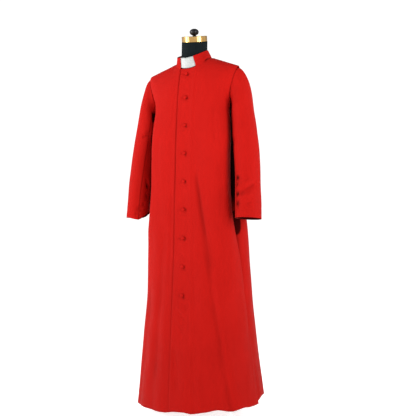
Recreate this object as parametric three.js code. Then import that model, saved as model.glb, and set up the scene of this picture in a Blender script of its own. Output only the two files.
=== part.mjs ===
// A full-length single-breasted cassock on a limbless dress form.
// Millimetres, +Z up, +X to the wearer's left, the front faces -Y.
// The origin is on the floor, at the middle of the dress form's base plate.
import * as THREE from 'three';

// ---------------------------------------------------------------- driving sizes
const WALL = 2.4;            // cloth with its interlining and turnings
const SEAM_GAP = 0.5;        // between two panels at a seam
const UNDERARM_Z = 1285;     // where the armhole touches the side seam
const YOKE_Y = 14;           // the shoulder seam leaves the neck here
const LEFT_SHOULDER = [      // height of the shoulder line by x; the left one hangs higher
  { x: 0, z: 1547.5 },
  { x: 76, z: 1518.5 },
  { x: 208, z: 1465.5 },
];
const RIGHT_SHOULDER = [
  { x: 0, z: 1547.5 },
  { x: 45, z: 1527 },
  { x: 70, z: 1506.5 },
  { x: 208, z: 1454.5 },
];
const SHOULDERS = {
  left: { neckX: 76, tipX: 208, line: LEFT_SHOULDER },
  right: { neckX: 70, tipX: 208, line: RIGHT_SHOULDER },
};
const SHOULDER_FORWARD = 22; // the shoulder seam runs forward by this much to the tip
const RIGHT_SWING = 36;      // the skirt's right side swings this far forward at the hem
const RIGHT_SPREAD = 0.02;   // the right half of the body stands out by this share more
const NECK_FRONT_Z = 1456.5; // pit of the neck, at the centre front
const NECK_BACK_Z = 1521;    // nape
const NECK_SHARE = 0.40;     // share of a panel's width that the neckline takes
const EDGE_SHARE = 0.86;     // share of a front's width that lies before its side pleat
const PLEAT_SHARE = 0.24;    // share of a back's width that lies in the side pleat
const PLEAT_TURN = 8;        // the fold at the pleat's edge turns over this length
// How the folds set in and widen downwards, as shares of their length and width.
const FOLDS_END = 0.7;       // share of the front's width where the folds start to fade out
const FOLD_SETS_IN = 0.25;
const FOLD_WIDENS = 0.6;
const FLUTE_WIDENS = 0.5;
const TUCK_LEAN = 0.1;       // the side pleat's bottom lies this share of its depth further back
const BACK_TURN = { across: 0.25, deep: 0.75 };   // where the back bends towards the pleat
// Shares of the rise from the underarm over which the yoke takes its seam and its full depth.
const YOKE_SEAM = 0.8;
const YOKE_FULL = 0.35;
const HEM_LEVEL = 0.1;       // share of the front that keeps its hem level
// The skirt's rows count from 1 at the waist to 2 at the hem.
const SWING_ROWS = { from: 1.55, to: 2 };
const SPREAD_ROWS = { from: 1.2, to: 1.4 };
const YOKE_ARCH = 2.6;       // how square the cloth turns over the shoulder
const ARMHOLE_SCOOP = 1.22;  // how the armhole curves in below the shoulder tip
const BAND_LIFT = 1.2;       // the left front lies proud along the buttons
const BAND_SINK = 2.4;       // the right front lies below it
const UNDERLAP = 34;         // how far the right front runs on under the left
const COLLAR_WALL = 2.2;
const BUTTON = { radius: 7.6, height: 5.4, segments: 12, standOff: 0.5 };

const CLOTH_RED = { color: 0xb81d1a, roughness: 0.72, metalness: 0 };
const TAB_WHITE = { color: 0xf1f0ec, roughness: 0.5, metalness: 0 };
const JERSEY_BLACK = { color: 0x111113, roughness: 0.85, metalness: 0 };
const CAP_BRASS = { color: 0xc79a4b, roughness: 0.25, metalness: 1 };
const KNOB_BLACK = { color: 0x0b0b0c, roughness: 0.15, metalness: 0 };
const STAND_WHITE = { color: 0xe8e8e6, roughness: 0.4, metalness: 0 };

// Sections of the worn body, from the shoulder down to the hem. Each row is one height.
// Fronts: y at the centre front, the side edge, how boxy the corner is, the depth of the side
// pleat behind the edge, and how far the front edge runs beyond the centre front.
const FRONTS = [
  { z: 1560, front: -93, side: 216, sideY: 12, square: 2.8, tuck: 0, lap: 25 },
  { z: 1440, front: -93, side: 206, sideY: 12, square: 2.8, tuck: 0, lap: 25 },
  { z: 1360, front: -93, side: 184, sideY: 12, square: 3.0, tuck: 0, lap: 30 },
  { z: 1285, front: -94, side: 165, sideY: 9, square: 3.6, tuck: 0, lap: 33 },
  { z: 1200, front: -99, side: 171, sideY: 3, square: 4.4, tuck: 7, lap: 34 },
  { z: 1100, front: -102, side: 174, sideY: -4, square: 4.8, tuck: 15, lap: 36 },
  { z: 1000, front: -105, side: 175, sideY: -9, square: 4.4, tuck: 22, lap: 36 },
  { z: 900, front: -108, side: 182, sideY: -13, square: 3.8, tuck: 33, lap: 38 },
  { z: 820, front: -109, side: 190, sideY: -16, square: 3.4, tuck: 46, lap: 39 },
  { z: 778, front: -110, side: 196, sideY: -14, square: 3.2, tuck: 46, lap: 39 },
  { z: 735, front: -111, side: 200, sideY: -4, square: 2.9, tuck: 20, lap: 39 },
  { z: 656, front: -115, side: 208, sideY: 12, square: 2.6, tuck: 12, lap: 40 },
  { z: 500, front: -121, side: 223, sideY: 28, square: 2.25, tuck: 9, lap: 42 },
  { z: 263, front: -136, side: 246, sideY: 46, square: 2.0, tuck: 10, lap: 46 },
  { z: 40, front: -152, side: 272, sideY: 60, square: 1.75, tuck: 13, lap: 45 },
];
// Backs: y at the centre back, the widest point and how boxy the corner is.
const BACKS = [
  { z: 1560, back: 104, wide: 216, wideY: 20, round: 2.6 },
  { z: 1440, back: 110, wide: 206, wideY: 20, round: 2.6 },
  { z: 1360, back: 114, wide: 184, wideY: 20, round: 2.6 },
  { z: 1285, back: 114, wide: 165, wideY: 20, round: 2.6 },
  { z: 1200, back: 110, wide: 172, wideY: 22, round: 2.6 },
  { z: 1100, back: 104, wide: 177, wideY: 24, round: 2.5 },
  { z: 1000, back: 118, wide: 184, wideY: 30, round: 2.4 },
  { z: 900, back: 148, wide: 200, wideY: 40, round: 2.2 },
  { z: 820, back: 178, wide: 216, wideY: 48, round: 2.1 },
  { z: 740, back: 200, wide: 219, wideY: 50, round: 2.1 },
  { z: 656, back: 219, wide: 222, wideY: 58, round: 2.1 },
  { z: 500, back: 248, wide: 227, wideY: 76, round: 2.1 },
  { z: 263, back: 280, wide: 246, wideY: 90, round: 2.1 },
  { z: 40, back: 304, wide: 271, wideY: 108, round: 2.1 },
];

// Hem height at the centre front, in the side pleat, at the back's fold of that pleat and at the
// centre back. It leans up to the wearer's left.
const HEM = { front: 42, side: 54, fold: 80, back: 72, lean: 12 };

// Largest folds of the skirt: a soft trough that runs from (x, z) at its top to its foot. A
// negative depth is a ridge.
const FOLDS = [
  { piece: 'left', topX: 58, topZ: 980, footX: 204, footZ: 36, depth: 3.6, width: 15 },
  { piece: 'left', topX: 128, topZ: 760, footX: 252, footZ: 36, depth: 2.4, width: 17 },
  { piece: 'left', topX: 150, topZ: 600, footX: 224, footZ: 36, depth: -13, width: 20 },
  { piece: 'right', topX: 70, topZ: 560, footX: 98, footZ: 36, depth: -7, width: 20 },
  { piece: 'right', topX: 92, topZ: 900, footX: 150, footZ: 36, depth: 2.6, width: 18 },
  { piece: 'right', topX: 140, topZ: 700, footX: 226, footZ: 36, depth: 3.0, width: 18 },
];

// Flutes that open down the back of the skirt, by their distance from the centre back seam.
const FLUTES = [
  { startZ: 1000, topX: 34, footX: 62, depth: 9, width: 20 },
  { startZ: 900, topX: 96, footX: 152, depth: 8, width: 26 },
];

// Sleeve sections below the armhole. outZ and inZ are the heights of the section's outer and
// inner points, cx and cy its middle, deep and slim its half axes, turn the long axis (degrees
// from +X towards the back). The right sleeve hangs turned a little further in.
const SLEEVES = {
  left: [
    { at: 0.20, outZ: 1354, inZ: 1236, cx: 215, cy: 10, deep: 66, slim: 40, turn: 90 },
    { at: 0.38, outZ: 1238, inZ: 1146, cx: 227, cy: 4, deep: 66, slim: 46, turn: 88 },
    { at: 0.58, outZ: 1112, inZ: 1048, cx: 244, cy: -9, deep: 65, slim: 49, turn: 84 },
    { at: 0.80, outZ: 966, inZ: 936, cx: 254, cy: -23, deep: 65, slim: 48, turn: 78 },
    { at: 1.00, outZ: 825, inZ: 825, cx: 259, cy: -33, deep: 66, slim: 48, turn: 72 },
  ],
  right: [
    { at: 0.20, outZ: 1346, inZ: 1236, cx: 216, cy: 13, deep: 66, slim: 40, turn: 90 },
    { at: 0.38, outZ: 1236, inZ: 1146, cx: 229, cy: 7, deep: 66, slim: 46, turn: 90 },
    { at: 0.58, outZ: 1112, inZ: 1050, cx: 243, cy: -5, deep: 65, slim: 48, turn: 90 },
    { at: 0.80, outZ: 968, inZ: 942, cx: 254, cy: -17, deep: 65, slim: 48, turn: 90 },
    { at: 1.00, outZ: 836, inZ: 836, cx: 259, cy: -26, deep: 66, slim: 48, turn: 90 },
  ],
};
const SLEEVE_SEAMS = { fore: 128, hind: 240 };   // degrees round from the outer line, over the front
// The cuff's edge: how far it slopes up to its front, droops by its fore seam and lifts on the
// side of the body. The turns say where, and from which share of the sleeve's length.
const CUFFS = {
  left: { slope: 4, droop: 0, lift: 0 },
  right: { slope: 0, droop: 12, lift: 30 },
};
const CUFF_TURNS = { droop: 132, lift: 205, from: 0.8 };

// Collar band: height of its top edge round the neck on each side, by the angle from the
// centre front. It follows the neck, higher on the wearer's left.
const COLLAR = [
  { angle: 0, left: 1504, right: 1504 },
  { angle: 26, left: 1510, right: 1509 },
  { angle: 45, left: 1520, right: 1513 },
  { angle: 90, left: 1545, right: 1533 },
  { angle: 135, left: 1560, right: 1553 },
  { angle: 180, left: 1564, right: 1564 },
];
const COLLAR_TOP = { middleX: -4.5, halfWidth: 66, front: -82, back: 62 };
const COLLAR_GAP = 2.0;      // between the neckline and the band, clear of the lapped edge
const COLLAR_HOLLOW = 1.2;   // the band curves in by this between its edges
const TAB_GAP = 1.3;         // between the band and the tab behind it
const TAB_WALL = 1;
const COLLAR_OPENING = { right: 26.5, leftTop: 28.5, leftBase: 31.5 };
const TAB_REACH = { right: -36, left: 40 };   // degrees, under the band's ends

// Dress form: rings of the torso and neck.
const FORM = [
  { z: 800, half: 108, front: -58, back: 84, square: 2.2 },
  { z: 806, half: 124, front: -76, back: 104, square: 2.3 },
  { z: 850, half: 136, front: -86, back: 116, square: 2.4 },
  { z: 930, half: 147, front: -88, back: 112, square: 2.4 },
  { z: 1020, half: 146, front: -84, back: 92, square: 2.4 },
  { z: 1110, half: 142, front: -80, back: 84, square: 2.4 },
  { z: 1210, half: 150, front: -84, back: 90, square: 2.4 },
  { z: 1300, half: 154, front: -82, back: 98, square: 2.4 },
  { z: 1370, half: 162, front: -78, back: 90, square: 2.4 },
  { z: 1420, half: 172, front: -68, back: 72, square: 2.2 },
  { z: 1448, half: 174, front: -62, back: 62, square: 2.0 },
  { z: 1466, half: 156, front: -56, back: 56, square: 1.9 },
  { z: 1480, half: 104, front: -51, back: 53, square: 1.8 },
  { z: 1498, half: 63, front: -52, back: 53, square: 1.9 },
  { z: 1518, half: 57, front: -56, back: 54, square: 2.0 },
  { z: 1548, half: 56, front: -57, back: 54, square: 2.0 },
  { z: 1591, half: 56, front: -56, back: 56, square: 2.0 },
];
const CAP = { radius: 55.5, height: 24, edge: 1, midZ: 1604, slopeX: -0.085, slopeY: 0.306 };
const KNOB = { radius: 20.5, halfHeight: 15, stemRadius: 7, stemHeight: 3, sunk: 1.2, rings: 8 };
const BASE = { radius: 155, height: 10, edge: 2.5, segments: 40 };
const POLE = { radius: 14, socket: 0.3, segments: 20 };

// Buttons down the centre front: the top one, then even steps.
const BUTTONS = { count: 9, topZ: 1436.5, firstStep: 102, step: 117.6 };

// ---------------------------------------------------------------- small helpers
const clamp = (value, low, high) => Math.min(high, Math.max(low, value));
const ease = (low, high, value) => {
  const t = clamp((value - low) / (high - low), 0, 1);
  return t * t * (3 - 2 * t);
};
const mix = (a, b, t) => a + (b - a) * t;
const radians = (degrees) => (degrees * Math.PI) / 180;

// Reads one column of a table at any height or angle, along a smooth curve without overshoot.
function readTable(rows, key, column, value) {
  const order = rows[0][key] < rows[rows.length - 1][key] ? rows : [...rows].reverse();
  const last = order.length - 1;
  if (value <= order[0][key]) return order[0][column];
  if (value >= order[last][key]) return order[last][column];
  let i = 0;
  while (value > order[i + 1][key]) i += 1;
  const slope = (k) => (order[k + 1][column] - order[k][column]) / (order[k + 1][key] - order[k][key]);
  const tangent = (k) => {
    if (k === 0) return slope(0);
    if (k === last) return slope(last - 1);
    const before = slope(k - 1);
    const after = slope(k);
    return before * after <= 0 ? 0 : (2 * before * after) / (before + after);
  };
  const step = order[i + 1][key] - order[i][key];
  const t = (value - order[i][key]) / step;
  const t2 = t * t;
  const t3 = t2 * t;
  return (2 * t3 - 3 * t2 + 1) * order[i][column]
    + (t3 - 2 * t2 + t) * step * tangent(i)
    + (3 * t2 - 2 * t3) * order[i + 1][column]
    + (t3 - t2) * step * tangent(i + 1);
}

const bodyAt = (z) => {
  const row = { z };
  for (const table of [FRONTS, BACKS]) {
    for (const column of Object.keys(table[0])) {
      if (column !== 'z') row[column] = readTable(table, 'z', column, z);
    }
  }
  return row;
};
const HEM_SIDE_X = FRONTS[FRONTS.length - 1].side;
const sideWord = (side) => (side > 0 ? 'left' : 'right');

// A quarter of a squared ellipse from (0, depth) to (width, 0), by the share of its length.
function quarter(width, depth, power, share) {
  const samples = 48;
  const points = [];
  let length = 0;
  for (let i = 0; i <= samples; i += 1) {
    const turn = (i / samples) * (Math.PI / 2);
    const x = width * Math.sin(turn) ** (2 / power);
    const y = depth * Math.cos(turn) ** (2 / power);
    if (i > 0) length += Math.hypot(x - points[i - 1].x, y - points[i - 1].y);
    points.push({ x, y, length });
  }
  const wanted = share * length;
  let i = 1;
  while (i < samples && points[i].length < wanted) i += 1;
  const before = points[i - 1];
  const after = points[i];
  const t = (wanted - before.length) / (after.length - before.length);
  return { x: mix(before.x, after.x, t), y: mix(before.y, after.y, t), length };
}

const bezier = (a, control, b, t) => (1 - t) * (1 - t) * a + 2 * t * (1 - t) * control + t * t * b;

// ---------------------------------------------------------------- body surface
const shoulderZ = (shoulder, x) => readTable(shoulder.line, 'x', 'z', x);
const shoulderY = (shoulder, x) => YOKE_Y - SHOULDER_FORWARD
  * clamp((x - shoulder.neckX) / (shoulder.tipX - shoulder.neckX), 0, 1);

// A trough across the distance from a line, 0 to 1 deep.
const trough = (distance, width) => Math.exp(-((distance / width) ** 2));

function foldDepth(piece, x, z) {
  let depth = 0;
  for (const fold of FOLDS) {
    if (fold.piece !== piece) continue;
    const along = (fold.topZ - z) / (fold.topZ - fold.footZ);
    const lineX = mix(fold.topX, fold.footX, along);
    const grow = ease(0, FOLD_SETS_IN, along);
    depth += fold.depth * grow * trough(x - lineX, fold.width * (1 + FOLD_WIDENS * clamp(along, 0, 1)));
  }
  return depth;
}

function fluteDepth(x, z) {
  let depth = 0;
  for (const flute of FLUTES) {
    const along = clamp((flute.startZ - z) / (flute.startZ - HEM.back), 0, 1.1);
    const lineX = mix(flute.topX, flute.footX, along);
    depth += flute.depth * along * trough(x - lineX, flute.width * (1 + FLUTE_WIDENS * along));
  }
  return depth;
}

// One row of the front from the centre front (u 0) to the bottom of its side pleat (u 1).
function frontRing(u, z) {
  const s = bodyAt(z);
  const edgeY = s.sideY - PLEAT_TURN;
  if (u <= EDGE_SHARE) {
    const p = quarter(s.side, edgeY - s.front, s.square, u / EDGE_SHARE);
    return { x: p.x, y: edgeY - p.y };
  }
  const t = (u - EDGE_SHARE) / (1 - EDGE_SHARE);
  return {
    x: bezier(s.side, s.side, s.side - s.tuck, t),
    y: bezier(edgeY, s.sideY, s.sideY + TUCK_LEAN * s.tuck, t),
  };
}

// One row of the back from the centre back (u 0) to the bottom of the side pleat (u 1).
function backRing(u, z) {
  const s = bodyAt(z);
  const edge = 1 - PLEAT_SHARE;
  if (u <= edge) {
    const p = quarter(s.wide, s.back - s.wideY, s.round, u / edge);
    return { x: p.x, y: s.wideY + p.y };
  }
  const t = (u - edge) / PLEAT_SHARE;
  const footX = s.side - s.tuck;
  const footY = s.sideY + TUCK_LEAN * s.tuck;
  return {
    x: bezier(s.wide, mix(s.wide, s.side, BACK_TURN.across), footX, t),
    y: bezier(s.wideY, mix(s.wideY, footY, BACK_TURN.deep), footY, t),
  };
}

// The yoke: above the underarm the cloth arches over the shoulder to the shoulder seam.
function yokePoint(ring, shoulder, isBack, u, w) {
  const { neckX, tipX } = shoulder;
  const neckZ = isBack ? NECK_BACK_Z : NECK_FRONT_Z;
  const onNeck = u <= NECK_SHARE;
  const quarterTurn = (u / NECK_SHARE) * (Math.PI / 2);
  const topX = onNeck
    ? neckX * Math.sin(quarterTurn)
    : mix(neckX, tipX, (u - NECK_SHARE) / (1 - NECK_SHARE));
  const topZ = onNeck
    ? mix(neckZ, shoulderZ(shoulder, neckX), 1 - Math.cos(quarterTurn))
    : shoulderZ(shoulder, topX);
  const topRise = Math.min(1, (topZ - UNDERARM_Z) / (shoulderZ(shoulder, topX) - UNDERARM_Z));
  const topTurn = Math.acos(topRise ** (YOKE_ARCH / 2));
  const turn = mix(topTurn, Math.PI / 2, w);
  const rise = Math.cos(turn) ** (2 / YOKE_ARCH);
  const arch = Math.sin(turn) ** (2 / YOKE_ARCH);
  const base = ring(u, UNDERARM_Z);
  const x = mix(base.x, topX, (rise / topRise) ** ARMHOLE_SCOOP);
  const z = UNDERARM_Z + (shoulderZ(shoulder, x) - UNDERARM_Z) * rise;
  const s = bodyAt(z);
  const seamY = mix(bodyAt(UNDERARM_Z).sideY, shoulderY(shoulder, x), ease(0, YOKE_SEAM, rise));
  const reach = isBack ? s.back - seamY : seamY - s.front;
  const power = isBack ? s.round : s.square;
  const full = reach * Math.max(0, 1 - (x / s.side) ** power) ** (1 / power);
  const baseDepth = Math.abs(base.y - bodyAt(UNDERARM_Z).sideY);
  const depth = mix(baseDepth, full, ease(0, YOKE_FULL, rise)) * arch;
  return { x, y: isBack ? seamY + depth : seamY - depth, z };
}

const hemZ = (ring, u, side) => {
  const across = Math.abs(u);
  const fold = 1 - PLEAT_SHARE;
  const front = mix(HEM.front, HEM.side, ease(HEM_LEVEL, 1, across));
  const back = across < fold
    ? mix(HEM.back, HEM.fold, ease(0, fold, across))
    : mix(HEM.fold, HEM.side, (across - fold) / PLEAT_SHARE);
  return (ring === backRing ? back : front) + side * HEM.lean * across;
};

// A point of the body's outer surface. side is 1 for the wearer's left and -1 for the right,
// v runs 0 to 1 down the yoke and 1 to 2 from the underarm to the hem. A negative u runs on
// past the centre front.
function bodyPoint(ring, side, u, v) {
  const isBack = ring === backRing;
  const across = Math.abs(u);
  const half = side * Math.sign(u || 1);
  let point;
  if (v < 1) {
    point = yokePoint(ring, SHOULDERS[sideWord(half)], isBack, across, v);
  } else {
    const z = mix(UNDERARM_Z, hemZ(ring, u, side), v - 1);
    point = { ...ring(across, z), z };
    if (isBack) {
      point.y -= fluteDepth(point.x, z);
    } else {
      const open = 1 - ease(FOLDS_END, EDGE_SHARE, across);
      point.y += open * foldDepth(sideWord(half), point.x, z);
    }
  }
  const swing = ease(SWING_ROWS.from, SWING_ROWS.to, v);
  if (half < 0) point.y -= RIGHT_SWING * swing * (point.x / HEM_SIDE_X) ** 2;
  const spreading = ease(0, 1, v) * (1 - ease(SPREAD_ROWS.from, SPREAD_ROWS.to, v));
  const spread = half > 0 ? 1 : 1 + RIGHT_SPREAD * spreading;
  return new THREE.Vector3(half * spread * point.x, point.y, point.z);
}

// ---------------------------------------------------------------- walls from grids
// The outward normal of a surface at (u, v), by small steps that stay inside the given range.
function surfaceNormal(surface, u, v, range, outward) {
  const step = 0.004;
  const u0 = Math.max(range.u0, u - step);
  const u1 = Math.min(range.u1, u + step);
  const v0 = Math.max(range.v0, v - step);
  const v1 = Math.min(range.v1, v + step);
  const across = surface(u1, v).sub(surface(u0, v));
  const down = surface(u, v1).sub(surface(u, v0));
  const normal = down.cross(across).normalize();
  return normal.multiplyScalar(outward);
}

const WHOLE = { u0: -0.3, u1: 1, v0: 0, v1: 2 };

function bodyNormal(ring, side, u, v) {
  const surface = (a, b) => bodyPoint(ring, side, a, b);
  return surfaceNormal(surface, u, v, WHOLE, ring === backRing ? -side : side);
}

// At the side seam both panels share one normal, so their edges lie face to face.
function sideSeamNormal(side, v) {
  return bodyNormal(frontRing, side, 1, v).add(bodyNormal(backRing, side, 1, v)).normalize();
}

// Closes a wall between an outer and an inner grid of points with the same rows and columns.
function wallGeometry(outer, inner) {
  const rows = outer.length;
  const columns = outer[0].length;
  const position = [];
  for (const grid of [outer, inner]) {
    for (const row of grid) {
      for (const point of row) position.push(point.x, point.y, point.z);
    }
  }
  const at = (layer, i, j) => layer * rows * columns + i * columns + j;
  const index = [];
  const quad = (a, b, c, d) => index.push(a, b, c, a, c, d);
  for (let i = 0; i < rows - 1; i += 1) {
    for (let j = 0; j < columns - 1; j += 1) {
      quad(at(0, i, j), at(0, i + 1, j), at(0, i + 1, j + 1), at(0, i, j + 1));
      quad(at(1, i, j), at(1, i, j + 1), at(1, i + 1, j + 1), at(1, i + 1, j));
    }
  }
  for (let j = 0; j < columns - 1; j += 1) {
    quad(at(0, 0, j), at(0, 0, j + 1), at(1, 0, j + 1), at(1, 0, j));
    quad(at(0, rows - 1, j + 1), at(0, rows - 1, j), at(1, rows - 1, j), at(1, rows - 1, j + 1));
  }
  const end = columns - 1;
  for (let i = 0; i < rows - 1; i += 1) {
    quad(at(0, i + 1, 0), at(0, i, 0), at(1, i, 0), at(1, i + 1, 0));
    quad(at(0, i, end), at(0, i + 1, end), at(1, i + 1, end), at(1, i, end));
  }
  const geometry = new THREE.BufferGeometry();
  geometry.setAttribute('position', new THREE.Float32BufferAttribute(position, 3));
  geometry.setIndex(turnOut(position, index));
  return geometry;
}

// Reverses the faces of a closed mesh whose volume comes out negative.
function turnOut(position, index) {
  let volume = 0;
  const corner = (k) => new THREE.Vector3().fromArray(position, 3 * k);
  for (let i = 0; i < index.length; i += 3) {
    volume += corner(index[i]).dot(corner(index[i + 1]).cross(corner(index[i + 2])));
  }
  if (volume >= 0) return index;
  for (let i = 0; i < index.length; i += 3) {
    [index[i + 1], index[i + 2]] = [index[i + 2], index[i + 1]];
  }
  return index;
}

const part = new THREE.Group();

function add(name, geometry, look) {
  const mesh = new THREE.Mesh(geometry, new THREE.MeshStandardMaterial(look));
  mesh.name = name;
  part.add(mesh);
  return mesh;
}

// ---------------------------------------------------------------- fronts and backs
const YOKE_ROWS = 8;
// Rows of the skirt by their share of the way from the underarm to the hem, closer where the
// side pleat shuts.
const SKIRT_ROWS = [
  0, 0.06, 0.12, 0.18, 0.24, 0.30, 0.345, 0.38, 0.405, 0.43, 0.455, 0.50, 0.56, 0.62, 0.69, 0.76,
  0.84, 0.92, 1,
];

const bodyRows = () => {
  const rows = [];
  for (let i = 0; i < YOKE_ROWS; i += 1) rows.push(i / YOKE_ROWS);
  for (const share of SKIRT_ROWS) rows.push(1 + share);
  return rows;
};

// Columns from u = start to u = 1, with one column on each of the marks between.
function columnsThrough(marks) {
  const columns = [];
  for (let k = 0; k < marks.length - 1; k += 1) {
    const { u, steps } = marks[k];
    for (let i = 0; i < steps; i += 1) columns.push(mix(u, marks[k + 1].u, i / steps));
  }
  columns.push(marks[marks.length - 1].u);
  return columns;
}

// Width of the front's arc at a row, so that a distance in mm becomes a share of it.
const frontArc = (z) => {
  const s = bodyAt(z);
  return quarter(s.side, s.sideY - PLEAT_TURN - s.front, s.square, 1).length / EDGE_SHARE;
};

const BACK_ARC = 300;                        // width of a back panel, for its seam gaps
const LEFT_BAND = { from: 0.12, to: 0.24 };   // shares over which the bands level out
const RIGHT_BAND = { from: 0.003, to: 0.06 };

function bodyPanel(name, ring, side) {
  const isBack = ring === backRing;
  const isLeftFront = !isBack && side > 0;
  const surface = (u, v) => bodyPoint(ring, side, u, v);
  const outer = [];
  const inner = [];
  for (const v of bodyRows()) {
    const middle = surface(0, v);
    const arc = isBack ? BACK_ARC : frontArc(Math.min(middle.z, UNDERARM_Z));
    const lap = bodyAt(middle.z).lap / arc;
    const halfGap = SEAM_GAP / 2 / arc;
    const first = isBack ? halfGap : -(isLeftFront ? lap : UNDERLAP / arc);
    const end = 1 - halfGap;
    const marks = isBack
      ? [{ u: first, steps: 4 }, { u: NECK_SHARE, steps: 4 }]
      : [{ u: first, steps: 2 }, { u: lap, steps: 3 }, { u: NECK_SHARE, steps: 5 }];
    marks.push({ u: isBack ? 1 - PLEAT_SHARE : EDGE_SHARE, steps: 3 }, { u: end });
    const outerRow = [];
    const innerRow = [];
    for (const u of columnsThrough(marks)) {
      const onShoulder = v === 0 && Math.abs(u) > NECK_SHARE - 0.001;
      const normal = u === end && v >= 1 ? sideSeamNormal(side, v) : bodyNormal(ring, side, u, v);
      if (onShoulder) normal.setY(0).normalize();
      const near = isLeftFront ? u : u - lap;
      const band = isLeftFront ? LEFT_BAND : RIGHT_BAND;
      const cover = 1 - ease(band.from, band.to, near);
      let proud = 0;
      if (isLeftFront) proud = BAND_LIFT * cover;
      if (!isBack && !isLeftFront) proud = -BAND_SINK * cover;
      const point = surface(u, v).addScaledVector(normal, proud);
      if (onShoulder) point.y += (isBack ? 1 : -1) * SEAM_GAP / 2;
      outerRow.push(point);
      innerRow.push(point.clone().addScaledVector(normal, -WALL));
    }
    outer.push(outerRow);
    inner.push(innerRow);
  }
  add(name, wallGeometry(outer, inner), CLOTH_RED);
}

bodyPanel('front_left', frontRing, 1);
bodyPanel('front_right', frontRing, -1);
bodyPanel('back_left', backRing, 1);
bodyPanel('back_right', backRing, -1);

// ---------------------------------------------------------------- sleeves
// The armhole as one loop, from the shoulder tip over the front, under the arm and up the back,
// with x counted outwards on either side.
function armholeLoop(side) {
  const steps = 40;
  const points = [];
  const addPoint = (ring, share) => {
    const point = bodyPoint(ring, side, 1, JUST_ABOVE * share);
    point.x *= side;
    points.push(point);
  };
  for (let i = 0; i <= steps; i += 1) addPoint(frontRing, i / steps);
  for (let i = steps - 1; i > 0; i -= 1) addPoint(backRing, i / steps);
  const loop = new THREE.CatmullRomCurve3(points, true, 'catmullrom', 0.5);
  loop.arcLengthDivisions = 400;
  return loop;
}
const JUST_ABOVE = 0.9999;   // keeps the loop on the yoke's side of the underarm
const ARMHOLES = { left: armholeLoop(1), right: armholeLoop(-1) };
const ARMHOLE_GAP = 0.6;

function sleeveSection(word, turn, t) {
  const row = (column) => readTable(SLEEVES[word], 'at', column, t);
  const eta = radians(-turn) - radians(row('turn'));
  const axis = radians(row('turn'));
  const deep = row('deep') * Math.cos(eta);
  const slim = row('slim') * Math.sin(eta);
  const lean = Math.cos(radians(turn));
  const middleZ = (row('outZ') + row('inZ')) / 2;
  const halfZ = (row('outZ') - row('inZ')) / 2;
  const { slope, droop, lift } = CUFFS[word];
  const near = (middle) => Math.max(0, Math.cos(radians(turn - middle)));
  const dip = slope * Math.sin(radians(turn))
    - droop * near(CUFF_TURNS.droop) ** 4 + lift * near(CUFF_TURNS.lift) ** 2;
  return new THREE.Vector3(
    row('cx') + deep * Math.cos(axis) - slim * Math.sin(axis),
    row('cy') + deep * Math.sin(axis) + slim * Math.cos(axis),
    middleZ + halfZ * lean + dip * ease(CUFF_TURNS.from, 1, t),
  );
}

// A point of a sleeve, with x counted outwards: turn in degrees round it, t from the armhole (0)
// to the cuff (1).
function sleevePoint(word, turn, t) {
  const first = SLEEVES[word][0].at;
  if (t >= first) return sleeveSection(word, turn, t);
  const start = ARMHOLES[word].getPointAt(turn / 360);
  start.x += ARMHOLE_GAP;
  const end = sleeveSection(word, turn, first);
  const probe = 0.01;
  const nearby = sleeveSection(word, turn, first + probe);
  const endTangent = nearby.sub(end).multiplyScalar(first / probe);
  const chord = start.distanceTo(end);
  const top = Math.max(0, Math.cos(radians(turn)));
  const under = Math.max(0, -Math.cos(radians(turn)));
  const reach = chord * (1.1 - 0.35 * top);
  const startTangent = new THREE.Vector3(
    reach * (0.8 + 0.2 * top - 0.55 * under),
    0,
    reach * (-0.6 + 0.33 * top - 0.4 * under),
  );
  const s = t / first;
  const s2 = s * s;
  const s3 = s2 * s;
  return new THREE.Vector3()
    .addScaledVector(start, 2 * s3 - 3 * s2 + 1)
    .addScaledVector(startTangent, s3 - 2 * s2 + s)
    .addScaledVector(end, 3 * s2 - 2 * s3)
    .addScaledVector(endTangent, s3 - s2);
}

function sleevePanel(name, side, fromTurn, toTurn, columns) {
  const rows = [0, 0.04, 0.08, 0.13, 0.18, 0.25, 0.33, 0.42, 0.5, 0.58, 0.66, 0.75, 0.84, 0.92, 1];
  const word = sideWord(side);
  const surface = (turn, t) => sleevePoint(word, ((turn % 360) + 360) % 360, t);
  const armholeMiddle = new THREE.Vector3();
  for (const share of [0, 0.25, 0.5, 0.75]) {
    armholeMiddle.addScaledVector(ARMHOLES[word].getPointAt(share), 0.25);
  }
  const outer = [];
  const inner = [];
  for (const t of rows) {
    const outerRow = [];
    const innerRow = [];
    for (let j = 0; j <= columns; j += 1) {
      const turn = mix(fromTurn, toTurn, j / columns);
      const point = surface(turn, t);
      let normal = sleeveNormal(surface, turn, t);
      if (t === 0) {
        normal = point.clone().sub(armholeMiddle);
        normal.x = 0;
        normal.normalize();
      }
      outerRow.push(point);
      innerRow.push(point.clone().addScaledVector(normal, -WALL));
    }
    outer.push(outerRow);
    inner.push(innerRow);
  }
  for (const grid of [outer, inner]) {
    for (const row of grid) {
      for (const point of row) point.x *= side;
    }
  }
  add(name, wallGeometry(outer, inner), CLOTH_RED);
}

function sleeveNormal(surface, turn, t) {
  const step = 0.006;
  const across = surface(turn + 1, t).sub(surface(turn - 1, t));
  const low = Math.max(0, t - step);
  const high = Math.min(1, t + step);
  const down = surface(turn, high).sub(surface(turn, low));
  return down.cross(across).normalize().negate();
}

const SEAM_TURN = 0.25;   // degrees that stay open each side of a sleeve seam
for (const [word, side] of [['left', 1], ['right', -1]]) {
  const { fore, hind } = SLEEVE_SEAMS;
  sleevePanel(`top_sleeve_${word}`, side, hind - 360 + SEAM_TURN, fore - SEAM_TURN, 11);
  sleevePanel(`under_sleeve_${word}`, side, fore + SEAM_TURN, hind - SEAM_TURN, 6);
}

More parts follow.
